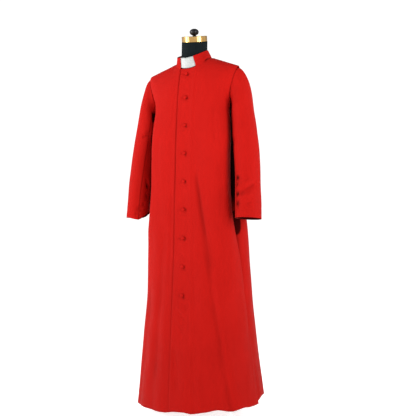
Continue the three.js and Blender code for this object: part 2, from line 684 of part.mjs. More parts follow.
// ---------------------------------------------------------------- collar and tab
// angle in degrees from the centre front, positive to the wearer's left; h 0 base to 1 top.
// The band stands on the neckline of the panels and leans in to its own top edge.
function collarPoint(angle, h, inset) {
  const turned = ((angle + 540) % 360) - 180;
  const turn = Math.abs(turned);
  const side = turned >= 0 ? 1 : -1;
  const isFront = turn < 90;
  const u = NECK_SHARE * (isFront ? turn : 180 - turn) / 90;
  const base = bodyPoint(isFront ? frontRing : backRing, side, u, 0);
  base.z += COLLAR_GAP;
  const middleY = (COLLAR_TOP.front + COLLAR_TOP.back) / 2;
  const halfDepth = (COLLAR_TOP.back - COLLAR_TOP.front) / 2;
  const top = new THREE.Vector3(
    COLLAR_TOP.middleX + side * COLLAR_TOP.halfWidth * Math.sin(radians(turn)),
    middleY - halfDepth * Math.cos(radians(turn)),
    readTable(COLLAR, 'angle', sideWord(side), turn),
  );
  const point = base.lerp(top, h);
  const outward = new THREE.Vector3(side * Math.sin(radians(turn)), -Math.cos(radians(turn)), 0);
  return point.addScaledVector(outward, COLLAR_HOLLOW * 4 * h * (h - 1) - inset);
}

function collarBand(name, startAngle, endAngle, columns, heights, inset, wall, look) {
  const outer = [];
  const inner = [];
  for (const h of heights) {
    const outerRow = [];
    const innerRow = [];
    for (let j = 0; j <= columns; j += 1) {
      const angle = mix(startAngle(h), endAngle(h), j / columns);
      outerRow.push(collarPoint(angle, h, inset));
      innerRow.push(collarPoint(angle, h, inset + wall));
    }
    outer.push(outerRow);
    inner.push(innerRow);
  }
  add(name, wallGeometry(outer, inner), look);
}

collarBand(
  'collar',
  (h) => mix(COLLAR_OPENING.leftBase, COLLAR_OPENING.leftTop, h),
  () => 360 - COLLAR_OPENING.right,
  26,
  [0, 0.35, 0.7, 1],
  0,
  COLLAR_WALL,
  CLOTH_RED,
);
collarBand(
  'collar_tab',
  () => TAB_REACH.right,
  () => TAB_REACH.left,
  11,
  [0.06, 0.5, 1],
  COLLAR_WALL + TAB_GAP,
  TAB_WALL,
  TAB_WHITE,
);

// ---------------------------------------------------------------- buttons
// A domed covered button, turned about its own axis and set on the left front.
function buttonGeometry() {
  const { radius, height, segments } = BUTTON;
  const profile = [
    new THREE.Vector2(0, 0),
    new THREE.Vector2(0.78 * radius, 0),
    new THREE.Vector2(radius, 0.26 * height),
    new THREE.Vector2(0.86 * radius, 0.64 * height),
    new THREE.Vector2(0.5 * radius, 0.92 * height),
    new THREE.Vector2(0, height),
  ];
  return closedLathe(profile, segments);
}

// A lathe whose seam and poles are one point each, so that it is a closed body.
function closedLathe(profile, segments) {
  const position = [];
  const index = [];
  const rings = [];
  for (const corner of profile) {
    const ring = [];
    const count = corner.x === 0 ? 1 : segments;
    for (let i = 0; i < count; i += 1) {
      const turn = (i / segments) * 2 * Math.PI;
      ring.push(position.length / 3);
      position.push(corner.x * Math.cos(turn), corner.x * Math.sin(turn), corner.y);
    }
    rings.push(ring);
  }
  for (let k = 0; k < rings.length - 1; k += 1) {
    const low = rings[k];
    const high = rings[k + 1];
    for (let i = 0; i < segments; i += 1) {
      const next = (i + 1) % segments;
      if (low.length > 1) index.push(low[i], low[next], high[next % high.length]);
      if (high.length > 1) index.push(low[i % low.length], high[next], high[i]);
    }
  }
  const geometry = new THREE.BufferGeometry();
  geometry.setAttribute('position', new THREE.Float32BufferAttribute(position, 3));
  geometry.setIndex(turnOut(position, index));
  return geometry;
}

// The left front's centre line at a height, on the facet between two of its rows.
function centreFrontAt(z) {
  const line = bodyRows().map((v) => bodyPoint(frontRing, 1, 0, v));
  let i = 0;
  while (line[i + 1].z > z) i += 1;
  const down = line[i + 1].clone().sub(line[i]);
  const point = line[i].clone().addScaledVector(down, (line[i].z - z) / -down.z);
  const normal = new THREE.Vector3(0, down.z, -down.y).normalize();
  return { point, normal };
}

for (let i = 0; i < BUTTONS.count; i += 1) {
  const z = BUTTONS.topZ - (i === 0 ? 0 : BUTTONS.firstStep + (i - 1) * BUTTONS.step);
  const { point, normal } = centreFrontAt(z);
  const button = add(`button_${i + 1}`, buttonGeometry(), CLOTH_RED);
  button.position.copy(point).addScaledVector(normal, BAND_LIFT + BUTTON.standOff);
  button.quaternion.setFromUnitVectors(new THREE.Vector3(0, 0, 1), normal);
}

// ---------------------------------------------------------------- dress form
const capPlaneZ = (x, y) => CAP.midZ - CAP.height / 2 + CAP.slopeX * x + CAP.slopeY * y;
const CAP_JOINT = 0.3;

function formTorso() {
  const segments = 28;
  const position = [];
  const index = [];
  const last = FORM.length - 1;
  const addPoint = (x, y, z) => {
    const tilt = ease(FORM[last - 2].z, FORM[last].z, z);
    const level = mix(z, capPlaneZ(x, y) - CAP_JOINT, tilt);
    position.push(x, y, level);
  };
  FORM.forEach((ring) => {
    for (let i = 0; i < segments; i += 1) {
      const turn = (i / segments) * 2 * Math.PI;
      const c = Math.cos(turn);
      const s = Math.sin(turn);
      const x = ring.half * Math.sign(c) * Math.abs(c) ** (2 / ring.square);
      const middle = (ring.front + ring.back) / 2;
      const depth = (ring.back - ring.front) / 2;
      addPoint(x, middle + depth * Math.sign(s) * Math.abs(s) ** (2 / ring.square), ring.z);
    }
  });
  for (let k = 0; k < last; k += 1) {
    for (let i = 0; i < segments; i += 1) {
      const next = (i + 1) % segments;
      const a = k * segments + i;
      const b = k * segments + next;
      index.push(a, b, b + segments, a, b + segments, a + segments);
    }
  }
  const bottom = position.length / 3;
  addPoint(0, (FORM[0].front + FORM[0].back) / 2, FORM[0].z);
  addPoint(0, 0, FORM[last].z);
  for (let i = 0; i < segments; i += 1) {
    const next = (i + 1) % segments;
    index.push(next, i, bottom);
    index.push(last * segments + i, last * segments + next, bottom + 1);
  }
  const geometry = new THREE.BufferGeometry();
  geometry.setAttribute('position', new THREE.Float32BufferAttribute(position, 3));
  geometry.setIndex(turnOut(position, index));
  return geometry;
}
add('form_torso', formTorso(), JERSEY_BLACK);

// The neck cap and its knob are turned parts that follow the cap's tilt.
const capNormal = new THREE.Vector3(-CAP.slopeX, -CAP.slopeY, 1).normalize();
const capSeat = new THREE.Vector3(0, 0, CAP.midZ - CAP.height / 2);
const capTurn = new THREE.Quaternion().setFromUnitVectors(new THREE.Vector3(0, 0, 1), capNormal);

function place(mesh, height) {
  mesh.position.copy(capSeat).addScaledVector(capNormal, height);
  mesh.quaternion.copy(capTurn);
}

const capProfile = [
  new THREE.Vector2(0, 0),
  new THREE.Vector2(CAP.radius - CAP.edge, 0),
  new THREE.Vector2(CAP.radius, CAP.edge),
  new THREE.Vector2(CAP.radius, CAP.height - CAP.edge),
  new THREE.Vector2(CAP.radius - CAP.edge, CAP.height),
  new THREE.Vector2(0, CAP.height),
];
place(add('neck_cap', closedLathe(capProfile, 40), CAP_BRASS), 0);

const knobProfile = [new THREE.Vector2(0, 0), new THREE.Vector2(KNOB.stemRadius, 0)];
const knobFoot = KNOB.stemHeight - KNOB.sunk;
for (let i = 1; i < KNOB.rings; i += 1) {
  const turn = (i / KNOB.rings) * Math.PI;
  const level = knobFoot + KNOB.halfHeight * (1 - Math.cos(turn));
  knobProfile.push(new THREE.Vector2(KNOB.radius * Math.sin(turn), level));
}
knobProfile.push(new THREE.Vector2(0, knobFoot + 2 * KNOB.halfHeight));
place(add('neck_knob', closedLathe(knobProfile, 20), KNOB_BLACK), CAP.height + CAP_JOINT);

const poleProfile = [
  new THREE.Vector2(0, BASE.height + POLE.socket),
  new THREE.Vector2(POLE.radius, BASE.height + POLE.socket),
  new THREE.Vector2(POLE.radius, FORM[0].z - POLE.socket),
  new THREE.Vector2(0, FORM[0].z - POLE.socket),
];
add('stand_pole', closedLathe(poleProfile, POLE.segments), STAND_WHITE);

const baseProfile = [
  new THREE.Vector2(0, 0),
  new THREE.Vector2(BASE.radius, 0),
  new THREE.Vector2(BASE.radius, BASE.height - BASE.edge),
  new THREE.Vector2(BASE.radius - BASE.edge, BASE.height),
  new THREE.Vector2(0, BASE.height),
];
add('stand_base', closedLathe(baseProfile, BASE.segments), STAND_WHITE);

export default part;
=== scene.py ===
import math

import bmesh
import bpy
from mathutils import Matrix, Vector, noise


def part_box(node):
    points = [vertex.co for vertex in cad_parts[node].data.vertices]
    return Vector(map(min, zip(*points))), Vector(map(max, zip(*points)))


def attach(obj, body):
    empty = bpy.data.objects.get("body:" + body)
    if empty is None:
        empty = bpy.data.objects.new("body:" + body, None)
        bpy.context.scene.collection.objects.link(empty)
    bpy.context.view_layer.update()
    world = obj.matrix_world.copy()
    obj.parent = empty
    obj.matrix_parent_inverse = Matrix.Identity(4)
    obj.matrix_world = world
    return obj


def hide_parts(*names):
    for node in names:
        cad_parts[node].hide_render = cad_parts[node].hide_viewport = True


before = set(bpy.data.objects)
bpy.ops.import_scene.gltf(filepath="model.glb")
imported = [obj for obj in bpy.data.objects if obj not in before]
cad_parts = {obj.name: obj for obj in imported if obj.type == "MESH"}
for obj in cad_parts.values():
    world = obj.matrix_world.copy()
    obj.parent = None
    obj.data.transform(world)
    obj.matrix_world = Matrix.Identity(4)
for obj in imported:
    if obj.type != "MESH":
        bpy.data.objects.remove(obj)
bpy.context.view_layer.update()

# ------------------------------------------------------------------ sizes, in metres
CLOTH_WALL = 0.0024          # wall of the panels as cut and turned
COLLAR_WALL = 0.0022
TAB_WALL = 0.001
CLOTH_THICK = 0.0016         # the gabardine itself, with its turnings at the edges
COLLAR_SEAT = 0.0050         # the collar band is set this far down onto the neckline
CREASE_PAINTED_SHADE = 0.26          # how much painted shade the deepest creases take
SEAM_SINK = 0.0006           # a sewn edge draws in by this much
SEAM_REACH = 0.0045          # and comes back to the panel's level over this much
SLEEVE_GROOVE_PAINTED_SHADE = 0.5          # painted shade in the groove at the sleeves' seams, from 0 to 1
SEAM_CLOSE = 0.0006          # sewn edges reach this far across to their neighbours
SEAM_FADE = 0.018            # a panel's creases fade out over this much beside its seams
PRESSED_ABOVE = 1.37         # the seams of the shoulders and the neck are pressed flat
ALL_SEWN_ABOVE = 1.0         # every edge above this height is sewn
SEAM_STEEPNESS = 0.4         # below it, an edge that rises less than this is a hem or a cuff
FRONT_HEM = 0.045            # heights of the hems and cuffs
BACK_HEM = 0.070
CUFF = 0.828
HEM_DEPTH = 0.038            # hems and cuffs are turned up by this much
SIDE = 0.03                  # how far back the side pleats are
SIDE_TOP = 1.2               # and the height below which they hang plain
SAME_POINT = 0.00002         # points nearer than this are one
FINE = 3                     # subdivision of the cloth
BODY_ROUND = 0.2             # radius of the body, which sets the weave's measure round it
LIMB_ROUND = 0.06            # the same for sleeves, collar and buttons
BASE_GLOW = 0.75             # glow of the stand's base, see white_enamel
FLOOR_GLOW = 0.70
ROOM_LIGHT = 1.12


def smooth(low, high, value):
    t = min(1.0, max(0.0, (value - low) / (high - low)))
    return t * t * (3 - 2 * t)


def mix(a, b, t):
    return a + (b - a) * t


def add_object(name, data):
    made = bpy.data.objects.new(name, data)
    bpy.context.scene.collection.objects.link(made)
    return made


def use_modifiers(piece):
    """Turns the piece's modifiers into plain mesh."""
    graph = bpy.context.evaluated_depsgraph_get()
    mesh = bpy.data.meshes.new_from_object(piece.evaluated_get(graph))
    piece.modifiers.clear()
    piece.data = mesh


# ------------------------------------------------------------------ shader maths
class Num:
    """A number socket that can be used in Python sums."""

    def __init__(self, board, socket):
        self.board, self.socket = board, socket

    def _math(self, operation, *values):
        return Num(self.board, self.board.node("ShaderNodeMath", {"operation": operation},
                                               dict(enumerate(values))).outputs[0])

    def __add__(self, other):
        return self._math("ADD", self, other)

    def __sub__(self, other):
        return self._math("SUBTRACT", self, other)

    def __rsub__(self, other):
        return self._math("SUBTRACT", other, self)

    def __mul__(self, other):
        return self._math("MULTIPLY", self, other)

    __radd__ = __add__
    __rmul__ = __mul__

    def sin(self):
        return self._math("SINE", self)

    def turn_from(self, other):
        """The angle whose sine goes with this number and whose cosine with the other."""
        return self._math("ARCTAN2", self, other)

    def least(self, other):
        return self._math("MINIMUM", self, other)

    def most(self, other):
        return self._math("MAXIMUM", self, other)


class Board:
    """The node tree of a new material, or of the room."""

    def __init__(self, name, room=False):
        self.owner = (bpy.data.worlds if room else bpy.data.materials).new(name)
        self.owner.use_nodes = True
        self.tree = self.owner.node_tree
        self.tree.nodes.clear()
        self.out = self.node("ShaderNodeOutputWorld" if room else "ShaderNodeOutputMaterial")

    def node(self, kind, settings=None, sockets=None):
        made = self.tree.nodes.new(kind)
        for key, value in (settings or {}).items():
            if key == "stops":
                ramp = made.color_ramp
                while len(ramp.elements) < len(value):
                    ramp.elements.new(0.5)
                for element, (place, colour) in zip(ramp.elements, value):
                    element.position = place
                    element.color = colour
            else:
                setattr(made, key, value)
        for key, value in (sockets or {}).items():
            socket = made.inputs[key]
            if isinstance(value, Num):
                value = value.socket
            if isinstance(value, bpy.types.NodeSocket):
                self.tree.links.new(value, socket)
            else:
                socket.default_value = value
        return made

    def coords(self):
        return self.node("ShaderNodeTexCoord").outputs["Object"]

    def stretched(self, vector, scale):
        return self.node("ShaderNodeMapping", None, {"Vector": vector, "Scale": scale}).outputs[0]

    def noise(self, vector, scale, detail=2.0, roughness=0.5):
        made = self.node("ShaderNodeTexNoise", None, {
            "Vector": vector, "Scale": scale, "Detail": detail, "Roughness": roughness})
        return Num(self, made.outputs[0])

    def axes(self, vector):
        made = self.node("ShaderNodeSeparateXYZ", None, {0: vector})
        return [Num(self, output) for output in made.outputs]

    def blend(self, factor, first, second, way="MIX"):
        made = self.node("ShaderNodeMix", {"data_type": "RGBA", "blend_type": way}, {
            0: factor, 6: first, 7: second})
        return made.outputs[2]

    def grey_ramp(self, factor, stops):
        stops = [(place, (grey, grey, grey, 1)) for place, grey in stops]
        return self.node("ShaderNodeValToRGB", {"stops": stops}, {0: factor}).outputs[0]

    def bump(self, height, distance, strength):
        return self.node("ShaderNodeBump", None, {
            "Height": height, "Distance": distance, "Strength": strength}).outputs[0]

    def surface(self, **sockets):
        names = {name.replace("_", " "): value for name, value in sockets.items()}
        shader = self.node("ShaderNodeBsdfPrincipled", None, names)
        self.tree.links.new(shader.outputs[0], self.out.inputs[0])
        return self.owner


PAINTED_HOLLOW_SHADE = (0.008, 0.0003, 0.0003, 1)      # painted shade for cloth at the bottom of a deep hollow
CLOTH_GLEAM = (1.0, 0.10, 0.08, 1.0)           # tint of its nap and its faint gloss
TWILL_PITCH = 0.0009
TWILL_SLANT = 0.62
WALE_PITCH = 0.0016                            # the jersey's upright ribs
COURSE_PITCH = 0.0011                          # and its rows
WALE_SLANT = 0.7


def twill_cloth(name, deep, bright):
    """Wool gabardine: a steep fine twill line, a light nap and slow changes of shade.

    The tone runs at random from deep to bright, and is painted a little brighter higher up: painted
    light that falls off towards the hem. The piece's hollow attribute darkens it with painted shade.
    """
    board = Board(name)
    place = board.node("ShaderNodeUVMap", {"uv_map": "weave"}).outputs[0]
    across, along, _ = board.axes(place)
    line = ((across + along * TWILL_SLANT) * (math.tau / TWILL_PITCH)).sin()
    yarn = board.noise(place, 900.0, 3.0, 0.6)
    slub = board.noise(board.stretched(place, (1.0, 0.16, 1.0)), 60.0, 3.0, 0.6)
    cloud = board.noise(board.coords(), 5.0, 3.0, 0.55)
    # Painted light: the cloth is painted lighter higher up and darker towards the hem.
    high = board.axes(board.coords())[2]
    shade = cloud * 0.5 + slub * 0.25 + yarn * 0.2 + line * 0.03 + high * 0.42 - 0.36
    shade = shade.least(1.0).most(0.0)
    colour = board.blend(shade, deep, bright)
    # Painted shade in hollows, creases and seam grooves, read from the piece's hollow attribute.
    hollow = board.node("ShaderNodeAttribute", {"attribute_name": "hollow"}).outputs["Fac"]
    colour = board.blend(hollow, colour, PAINTED_HOLLOW_SHADE)
    height = line * 0.35 + yarn * 0.5 + slub * 0.4
    return board.surface(
        Base_Color=colour,
        Roughness=cloud * 0.12 + 0.70,
        Specular_IOR_Level=0.12,
        Specular_Tint=CLOTH_GLEAM,
        Sheen_Weight=0.05,
        Sheen_Roughness=0.4,
        Sheen_Tint=CLOTH_GLEAM,
        Normal=board.bump(height, 0.00022, 0.7),
    )


def white_tab():
    """A smooth, stiff, pale strip."""
    board = Board("white_tab")
    place = board.coords()
    grain = board.noise(place, 700.0, 3.0)
    cloud = board.noise(place, 40.0, 2.0)
    return board.surface(
        Base_Color=board.blend(cloud, (0.38, 0.40, 0.385, 1), (0.42, 0.44, 0.425, 1)),
        Roughness=cloud * 0.1 + 0.4,
        Normal=board.bump(grain, 0.00006, 0.5),
    )


def black_jersey():
    """Fine knit in upright wales."""
    board = Board("black_jersey")
    place = board.coords()
    x, y, z = board.axes(place)
    wale = ((x + y * WALE_SLANT) * (math.tau / WALE_PITCH)).sin()
    course = (z * (math.tau / COURSE_PITCH)).sin()
    fuzz = board.noise(place, 420.0, 4.0, 0.7)
    cloud = board.noise(place, 9.0, 2.0)
    height = wale * 0.35 + course * 0.25 + fuzz
    shade = cloud * 0.5 + fuzz * 0.5
    return board.surface(
        Base_Color=board.blend(shade, (0.0015, 0.0040, 0.0050, 1), (0.0035, 0.0075, 0.0085, 1)),
        Roughness=cloud * 0.1 + 0.72,
        Specular_IOR_Level=0.10,
        Sheen_Weight=0.012,
        Sheen_Roughness=0.5,
        Sheen_Tint=(0.5, 0.8, 0.9, 1),
        Normal=board.bump(height, 0.00025, 0.6),
    )


def polished_brass():
    """Brass with fine brush lines round it."""
    board = Board("polished_brass")
    place = board.coords()
    brushed = board.noise(board.stretched(place, (20.0, 20.0, 900.0)), 1.0, 2.0)
    cloud = board.noise(place, 22.0, 3.0)
    return board.surface(
        Base_Color=board.blend(cloud, (0.38, 0.21, 0.055, 1), (0.60, 0.38, 0.14, 1)),
        Metallic=1.0,
        Roughness=cloud * 0.10 + brushed * 0.06 + 0.10,
        Normal=board.bump(brushed, 0.00003, 0.4),
    )


def gloss_black():
    """Glossy black with a thin coat."""
    board = Board("gloss_black")
    place = board.coords()
    cloud = board.noise(place, 60.0, 3.0)
    return board.surface(
        Base_Color=board.blend(cloud, (0.004, 0.004, 0.005, 1), (0.010, 0.010, 0.011, 1)),
        Roughness=cloud * 0.06 + 0.22,
        Specular_IOR_Level=0.25,
        Coat_Weight=0.12,
        Coat_Roughness=0.05,
        Normal=board.bump(cloud, 0.00005, 0.3),
    )


def white_enamel(name, glow):
    """White enamel. Its glow stands in for the pale floor's light on a part close to it."""
    board = Board(name)
    place = board.coords()
    peel = board.noise(place, 260.0, 2.0)
    cloud = board.noise(place, 8.0, 2.0)
    return board.surface(
        Base_Color=board.blend(cloud, (0.76, 0.76, 0.75, 1), (0.84, 0.84, 0.83, 1)),
        Roughness=peel * 0.08 + 0.34,
        Emission_Color=(1, 1, 1, 1),
        Emission_Strength=glow,
        Normal=board.bump(peel, 0.00006, 0.4),
    )


RED = twill_cloth("red_gabardine", (0.28, 0.0050, 0.0036, 1), (0.44, 0.0085, 0.0062, 1))
# The sleeves' lining: its dark red is a guess, made this dark partly as painted shade inside the cuffs.
LINING_WITH_PAINTED_SHADE = twill_cloth("dark_lining_and_painted_shade", (0.030, 0.0012, 0.0010, 1), (0.045, 0.0016, 0.0014, 1))
TAB = white_tab()
JERSEY = black_jersey()
BRASS = polished_brass()
GLOSS = gloss_black()
POLE_ENAMEL = white_enamel("pole_enamel", 0.0)
BASE_ENAMEL = white_enamel("base_enamel", BASE_GLOW)


# ------------------------------------------------------------------ cloth from the frame
def islands(faces):
    """Groups of faces that hang together."""
    left = set(faces)
    groups = []
    while left:
        heap = [left.pop()]
        group = []
        while heap:
            face = heap.pop()
            group.append(face)
            for edge in face.edges:
                for near in edge.link_faces:
                    if near in left:
                        left.remove(near)
                        heap.append(near)
        groups.append(group)
    return groups


WALL_SLACK = 0.000004        # a rim's edges are a wall long, within this much
ANY_BEND = 3.1               # joins triangles across any bend or skew, in radians


def outer_skin(name, node, wall):
    """The outside of a panel's wall, as quads: the rim is cut off and the inner side dropped."""
    form = bmesh.new()
    form.from_mesh(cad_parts[node].data)
    bmesh.ops.remove_doubles(form, verts=form.verts, dist=SAME_POINT)
    rim = [f for f in form.faces if any(abs(e.calc_length() - wall) < WALL_SLACK for e in f.edges)]
    bmesh.ops.delete(form, geom=rim, context="FACES")
    groups = sorted(islands(form.faces), key=lambda g: -sum(f.calc_area() for f in g))
    bmesh.ops.delete(form, geom=[f for g in groups[1:] for f in g], context="FACES")
    bmesh.ops.join_triangles(form, faces=form.faces, cmp_seam=False, cmp_sharp=False,
                             cmp_uvs=False, cmp_vcols=False, cmp_materials=False,
                             angle_face_threshold=ANY_BEND, angle_shape_threshold=ANY_BEND)
    mesh = bpy.data.meshes.new(name)
    form.to_mesh(mesh)
    form.free()
    return add_object(name, mesh)


def refine(piece, levels):
    made = piece.modifiers.new("Fine", "SUBSURF")
    made.levels = made.render_levels = levels
    made.boundary_smooth = "PRESERVE_CORNERS"
    use_modifiers(piece)


def sewn_edge(vert, free):
    """Whether an edge vertex is stitched to a neighbour: not the hem or cuff, nor where free says."""
    if not vert.is_boundary or free(vert.co):
        return False
    rims = [edge for edge in vert.link_edges if edge.is_boundary]
    rise = sum(abs(edge.verts[0].co.z - edge.verts[1].co.z) for edge in rims)
    steep = rise > SEAM_STEEPNESS * sum(edge.calc_length() for edge in rims)
    return vert.co.z > ALL_SEWN_ABOVE or steep


def seam_side(vert):
    """The way across the seam from a sewn edge vertex, in the plane of its panel."""
    inner = [edge.other_vert(vert).co for edge in vert.link_edges if not edge.is_boundary]
    rims = [edge.other_vert(vert).co for edge in vert.link_edges if edge.is_boundary]
    if not inner or len(rims) != 2:
        return Vector()
    across = vert.co - sum(inner, Vector()) / len(inner)
    along = (rims[0] - rims[1]).normalized()
    return (across - along * across.dot(along)).normalized()


def edge_distance(form, reach, free):
    """How far each vertex within reach of a sewn edge lies from it, along the mesh."""
    far = {v: 0.0 for v in form.verts if sewn_edge(v, free)}
    heap = list(far)
    while heap:
        nearby = []
        for vert in heap:
            for edge in vert.link_edges:
                other = edge.other_vert(vert)
                total = far[vert] + edge.calc_length()
                if total < reach and total < far.get(other, reach):
                    far[other] = total
                    nearby.append(other)
        heap = nearby
    return far


CREASE_DEPTHS = (0.0015, 0.0080)     # depths at which a crease's painted shade begins and is full
GROOVE_REACH = (0.0012, 0.0032)      # a groove's painted shade is full to the first, gone at the second


def nowhere(co):
    """For a piece that isn't lifted, or has no painted shade."""
    return 0.0


def drape(piece, depth_at, free=lambda co: False, pinned=False, lift_at=nowhere, painted_shade_at=nowhere,
          seam_painted_shade=0.0):
    """Moves each vertex along its normal by the piece's own creases and draws sewn edges in.

    free says which edges aren't sewn. A pinned piece's creases end at its seams, so that it meets
    its neighbours. lift_at raises or lowers the cloth. painted_shade_at says how much painted shade
    the cloth's weave takes in its hollows, from 0 to 1, and seam_painted_shade is the same for the
    groove of its seams. The deepest creases take painted shade as well.
    """
    form = bmesh.new()
    form.from_mesh(piece.data)
    hollow = form.verts.layers.float.new("hollow")
    form.normal_update()
    edges = edge_distance(form, SEAM_FADE, free)
    moves = []
    for vert in form.verts:
        move = depth_at(vert.co)
        far = edges.get(vert, SEAM_FADE)
        if pinned:
            move *= smooth(0, SEAM_FADE, far)
        if vert.co.z < PRESSED_ABOVE:
            move -= SEAM_SINK * (1 - smooth(0, SEAM_REACH, far))
        # Painted shade in the deepest creases and the seams' grooves, and where painted_shade_at puts it.
        deep = smooth(*CREASE_DEPTHS, -move) * CREASE_PAINTED_SHADE
        groove = seam_painted_shade * (1 - smooth(*GROOVE_REACH, far))
        vert[hollow] = min(1.0, max(deep, groove, painted_shade_at(vert.co)))
        close = seam_side(vert) * SEAM_CLOSE if far == 0 else Vector()
        moves.append((vert, vert.normal * move + close + Vector((0.0, 0.0, lift_at(vert.co)))))
    for vert, move in moves:
        vert.co += move
    form.to_mesh(piece.data)
    form.free()


def weave_map(piece, centre, radius):
    """A map in metres: round the upright axis through centre, and up."""
    layer = piece.data.uv_layers.new(name="weave")
    for loop in piece.data.loops:
        co = piece.data.vertices[loop.vertex_index].co
        angle = math.atan2(co.x - centre[0], centre[1] - co.y)
        layer.data[loop.index].uv = (angle * radius, co.z)


def paint(mesh, *materials):
    mesh.materials.clear()
    for material in materials:
        mesh.materials.append(material)


def thicken(piece, thickness, outer, inner):
    """Gives the cloth its thickness, with a material of its own on the inside."""
    paint(piece.data, outer, inner)
    wall = piece.modifiers.new("Cloth", "SOLIDIFY")
    wall.thickness = thickness
    wall.offset = -1.0
    wall.use_even_offset = True
    wall.use_rim = True
    wall.material_offset = 1
    use_modifiers(piece)


def finish(piece, node):
    """Shades the piece smooth and puts it in its node's place."""
    for face in piece.data.polygons:
        face.use_smooth = True
    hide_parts(node)
    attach(piece, "root")


# ------------------------------------------------------------------ creases
CREASE_REACH = 2.6           # a crease is worked out this many widths to each side


def bell(distance, width):
    return math.exp(-((distance / width) ** 2))


class Crease:
    """A trough (negative depth) or ridge that follows a path of (across, up) points.

    It reaches width to each side, or (width to the smaller side, width to the larger side), and
    fades out over the first and last parts of the path given by ends.
    """

    def __init__(self, depth, width, path, ends=(0.3, 0.3)):
        self.depth, self.path, self.ends = depth, path, ends
        self.widths = width if isinstance(width, tuple) else (width, width)
        reach = CREASE_REACH * max(self.widths)
        self.low = (min(p[0] for p in path) - reach, min(p[1] for p in path) - reach)
        self.high = (max(p[0] for p in path) + reach, max(p[1] for p in path) + reach)
        self.lengths = [math.dist(a, b) for a, b in zip(path, path[1:])]

    def at(self, x, z):
        if not (self.low[0] < x < self.high[0] and self.low[1] < z < self.high[1]):
            return 0.0
        nearest, share, larger = math.inf, 0.0, False
        run, total = 0.0, sum(self.lengths)
        for (ax, az), (bx, bz), length in zip(self.path, self.path[1:], self.lengths):
            t = ((x - ax) * (bx - ax) + (z - az) * (bz - az)) / (length * length)
            t = min(1.0, max(0.0, t))
            dx, dz = x - mix(ax, bx, t), z - mix(az, bz, t)
            if math.hypot(dx, dz) < nearest:
                nearest, share, larger = math.hypot(dx, dz), (run + t * length) / total, dx > 0
            run += length
        first, last = self.ends
        fade = smooth(0, first, share)
        if last:
            fade *= 1 - smooth(1 - last, 1, share)
        return self.depth * fade * bell(nearest, self.widths[1 if larger else 0])


def creases(x, z, rows):
    return sum(row.at(x, z) for row in rows)


# Unevenness of the cloth: (how deep, how wide).
UNEVEN = {"front": (0.0014, 0.045), "front_low": (0.0032, 0.045), "front_side": (0.0008, 0.05),
          "back": (0.0022, 0.045), "back_side": (0.0006, 0.05),
          "sleeve": (0.0018, 0.030), "collar": (0.0005, 0.02)}
UNEVEN_LENGTH = 3.2          # and how much longer than wide


def soft_cloth(co, amount, size):
    """The slow unevenness of hanging cloth, longer down than across."""
    return amount * noise.noise(Vector((co.x / size, co.y / size, co.z / (UNEVEN_LENGTH * size))))


LEFT_FRONT = [
    # the long fold from the waist to the hem
    Crease(-0.0054, (0.012, 0.008), [(0.046, 1.060), (0.059, 0.980), (0.079, 0.860), (0.094, 0.770),
                                    (0.104, 0.690)]),
    Crease(-0.0040, 0.014, [(0.088, 0.810), (0.096, 0.760), (0.120, 0.550), (0.151, 0.360), (0.1745, 0.197),
                            (0.203, 0.030)], ends=(0.2, 0)),
    Crease(0.0030, 0.016, [(0.118, 0.660), (0.148, 0.500), (0.232, 0.030)], ends=(0.3, 0)),
    # chest beside the armhole, and the side of the waist
    Crease(0.0038, 0.013, [(0.147, 1.290), (0.156, 1.200), (0.166, 1.110)]),
    Crease(-0.0024, 0.012, [(0.150, 1.090), (0.165, 0.860)]),
    Crease(-0.0020, 0.012, [(0.120, 1.330), (0.132, 1.210), (0.130, 1.100)]),
    # along the overlap
    Crease(0.0026, 0.020, [(0.020, 0.560), (0.060, 0.300), (0.086, 0.030)], ends=(0.3, 0)),
    Crease(-0.0030, 0.018, [(0.040, 0.440), (0.062, 0.240), (0.066, 0.030)], ends=(0.4, 0)),
    Crease(-0.0058, 0.013, [(-0.034, 0.330), (-0.024, 0.250), (-0.016, 0.120)]),
    # short ones under the lowest buttons
    Crease(-0.0034, 0.007, [(-0.014, 0.492), (0.006, 0.480), (0.034, 0.456)]),
    Crease(0.0032, 0.007, [(-0.030, 0.470), (-0.008, 0.456), (0.014, 0.430)]),
    Crease(-0.0032, 0.007, [(-0.024, 0.444), (-0.004, 0.426), (0.030, 0.398)]),
    Crease(0.0026, 0.008, [(-0.030, 0.424), (-0.012, 0.404), (0.006, 0.376)]),
    Crease(-0.0024, 0.008, [(-0.020, 0.400), (0.000, 0.372), (0.010, 0.345)]),
    # short slanting ones between the upper buttons
    Crease(-0.0020, 0.006, [(-0.022, 1.092), (0.000, 1.074), (0.012, 1.068)]),
    Crease(-0.0016, 0.006, [(-0.024, 0.962), (-0.006, 0.948), (0.014, 0.944)]),
    Crease(-0.0016, 0.006, [(-0.026, 0.690), (-0.008, 0.676), (0.016, 0.674)]),
]
RIGHT_FRONT = [
    Crease(-0.0022, 0.010, [(-0.054, 1.020), (-0.056, 0.800), (-0.066, 0.560)]),
    Crease(-0.0036, 0.017, [(-0.084, 0.860), (-0.108, 0.500), (-0.142, 0.030)], ends=(0.3, 0)),
    Crease(0.0030, 0.018, [(-0.106, 0.700), (-0.140, 0.400), (-0.182, 0.030)], ends=(0.3, 0)),
    Crease(-0.0034, 0.016, [(-0.148, 0.720), (-0.180, 0.420), (-0.226, 0.030)], ends=(0.3, 0)),
    Crease(0.0030, 0.013, [(-0.148, 1.290), (-0.154, 1.180), (-0.160, 1.080)]),
    Crease(-0.0020, 0.012, [(-0.120, 1.200), (-0.132, 1.080), (-0.120, 0.960)]),
]
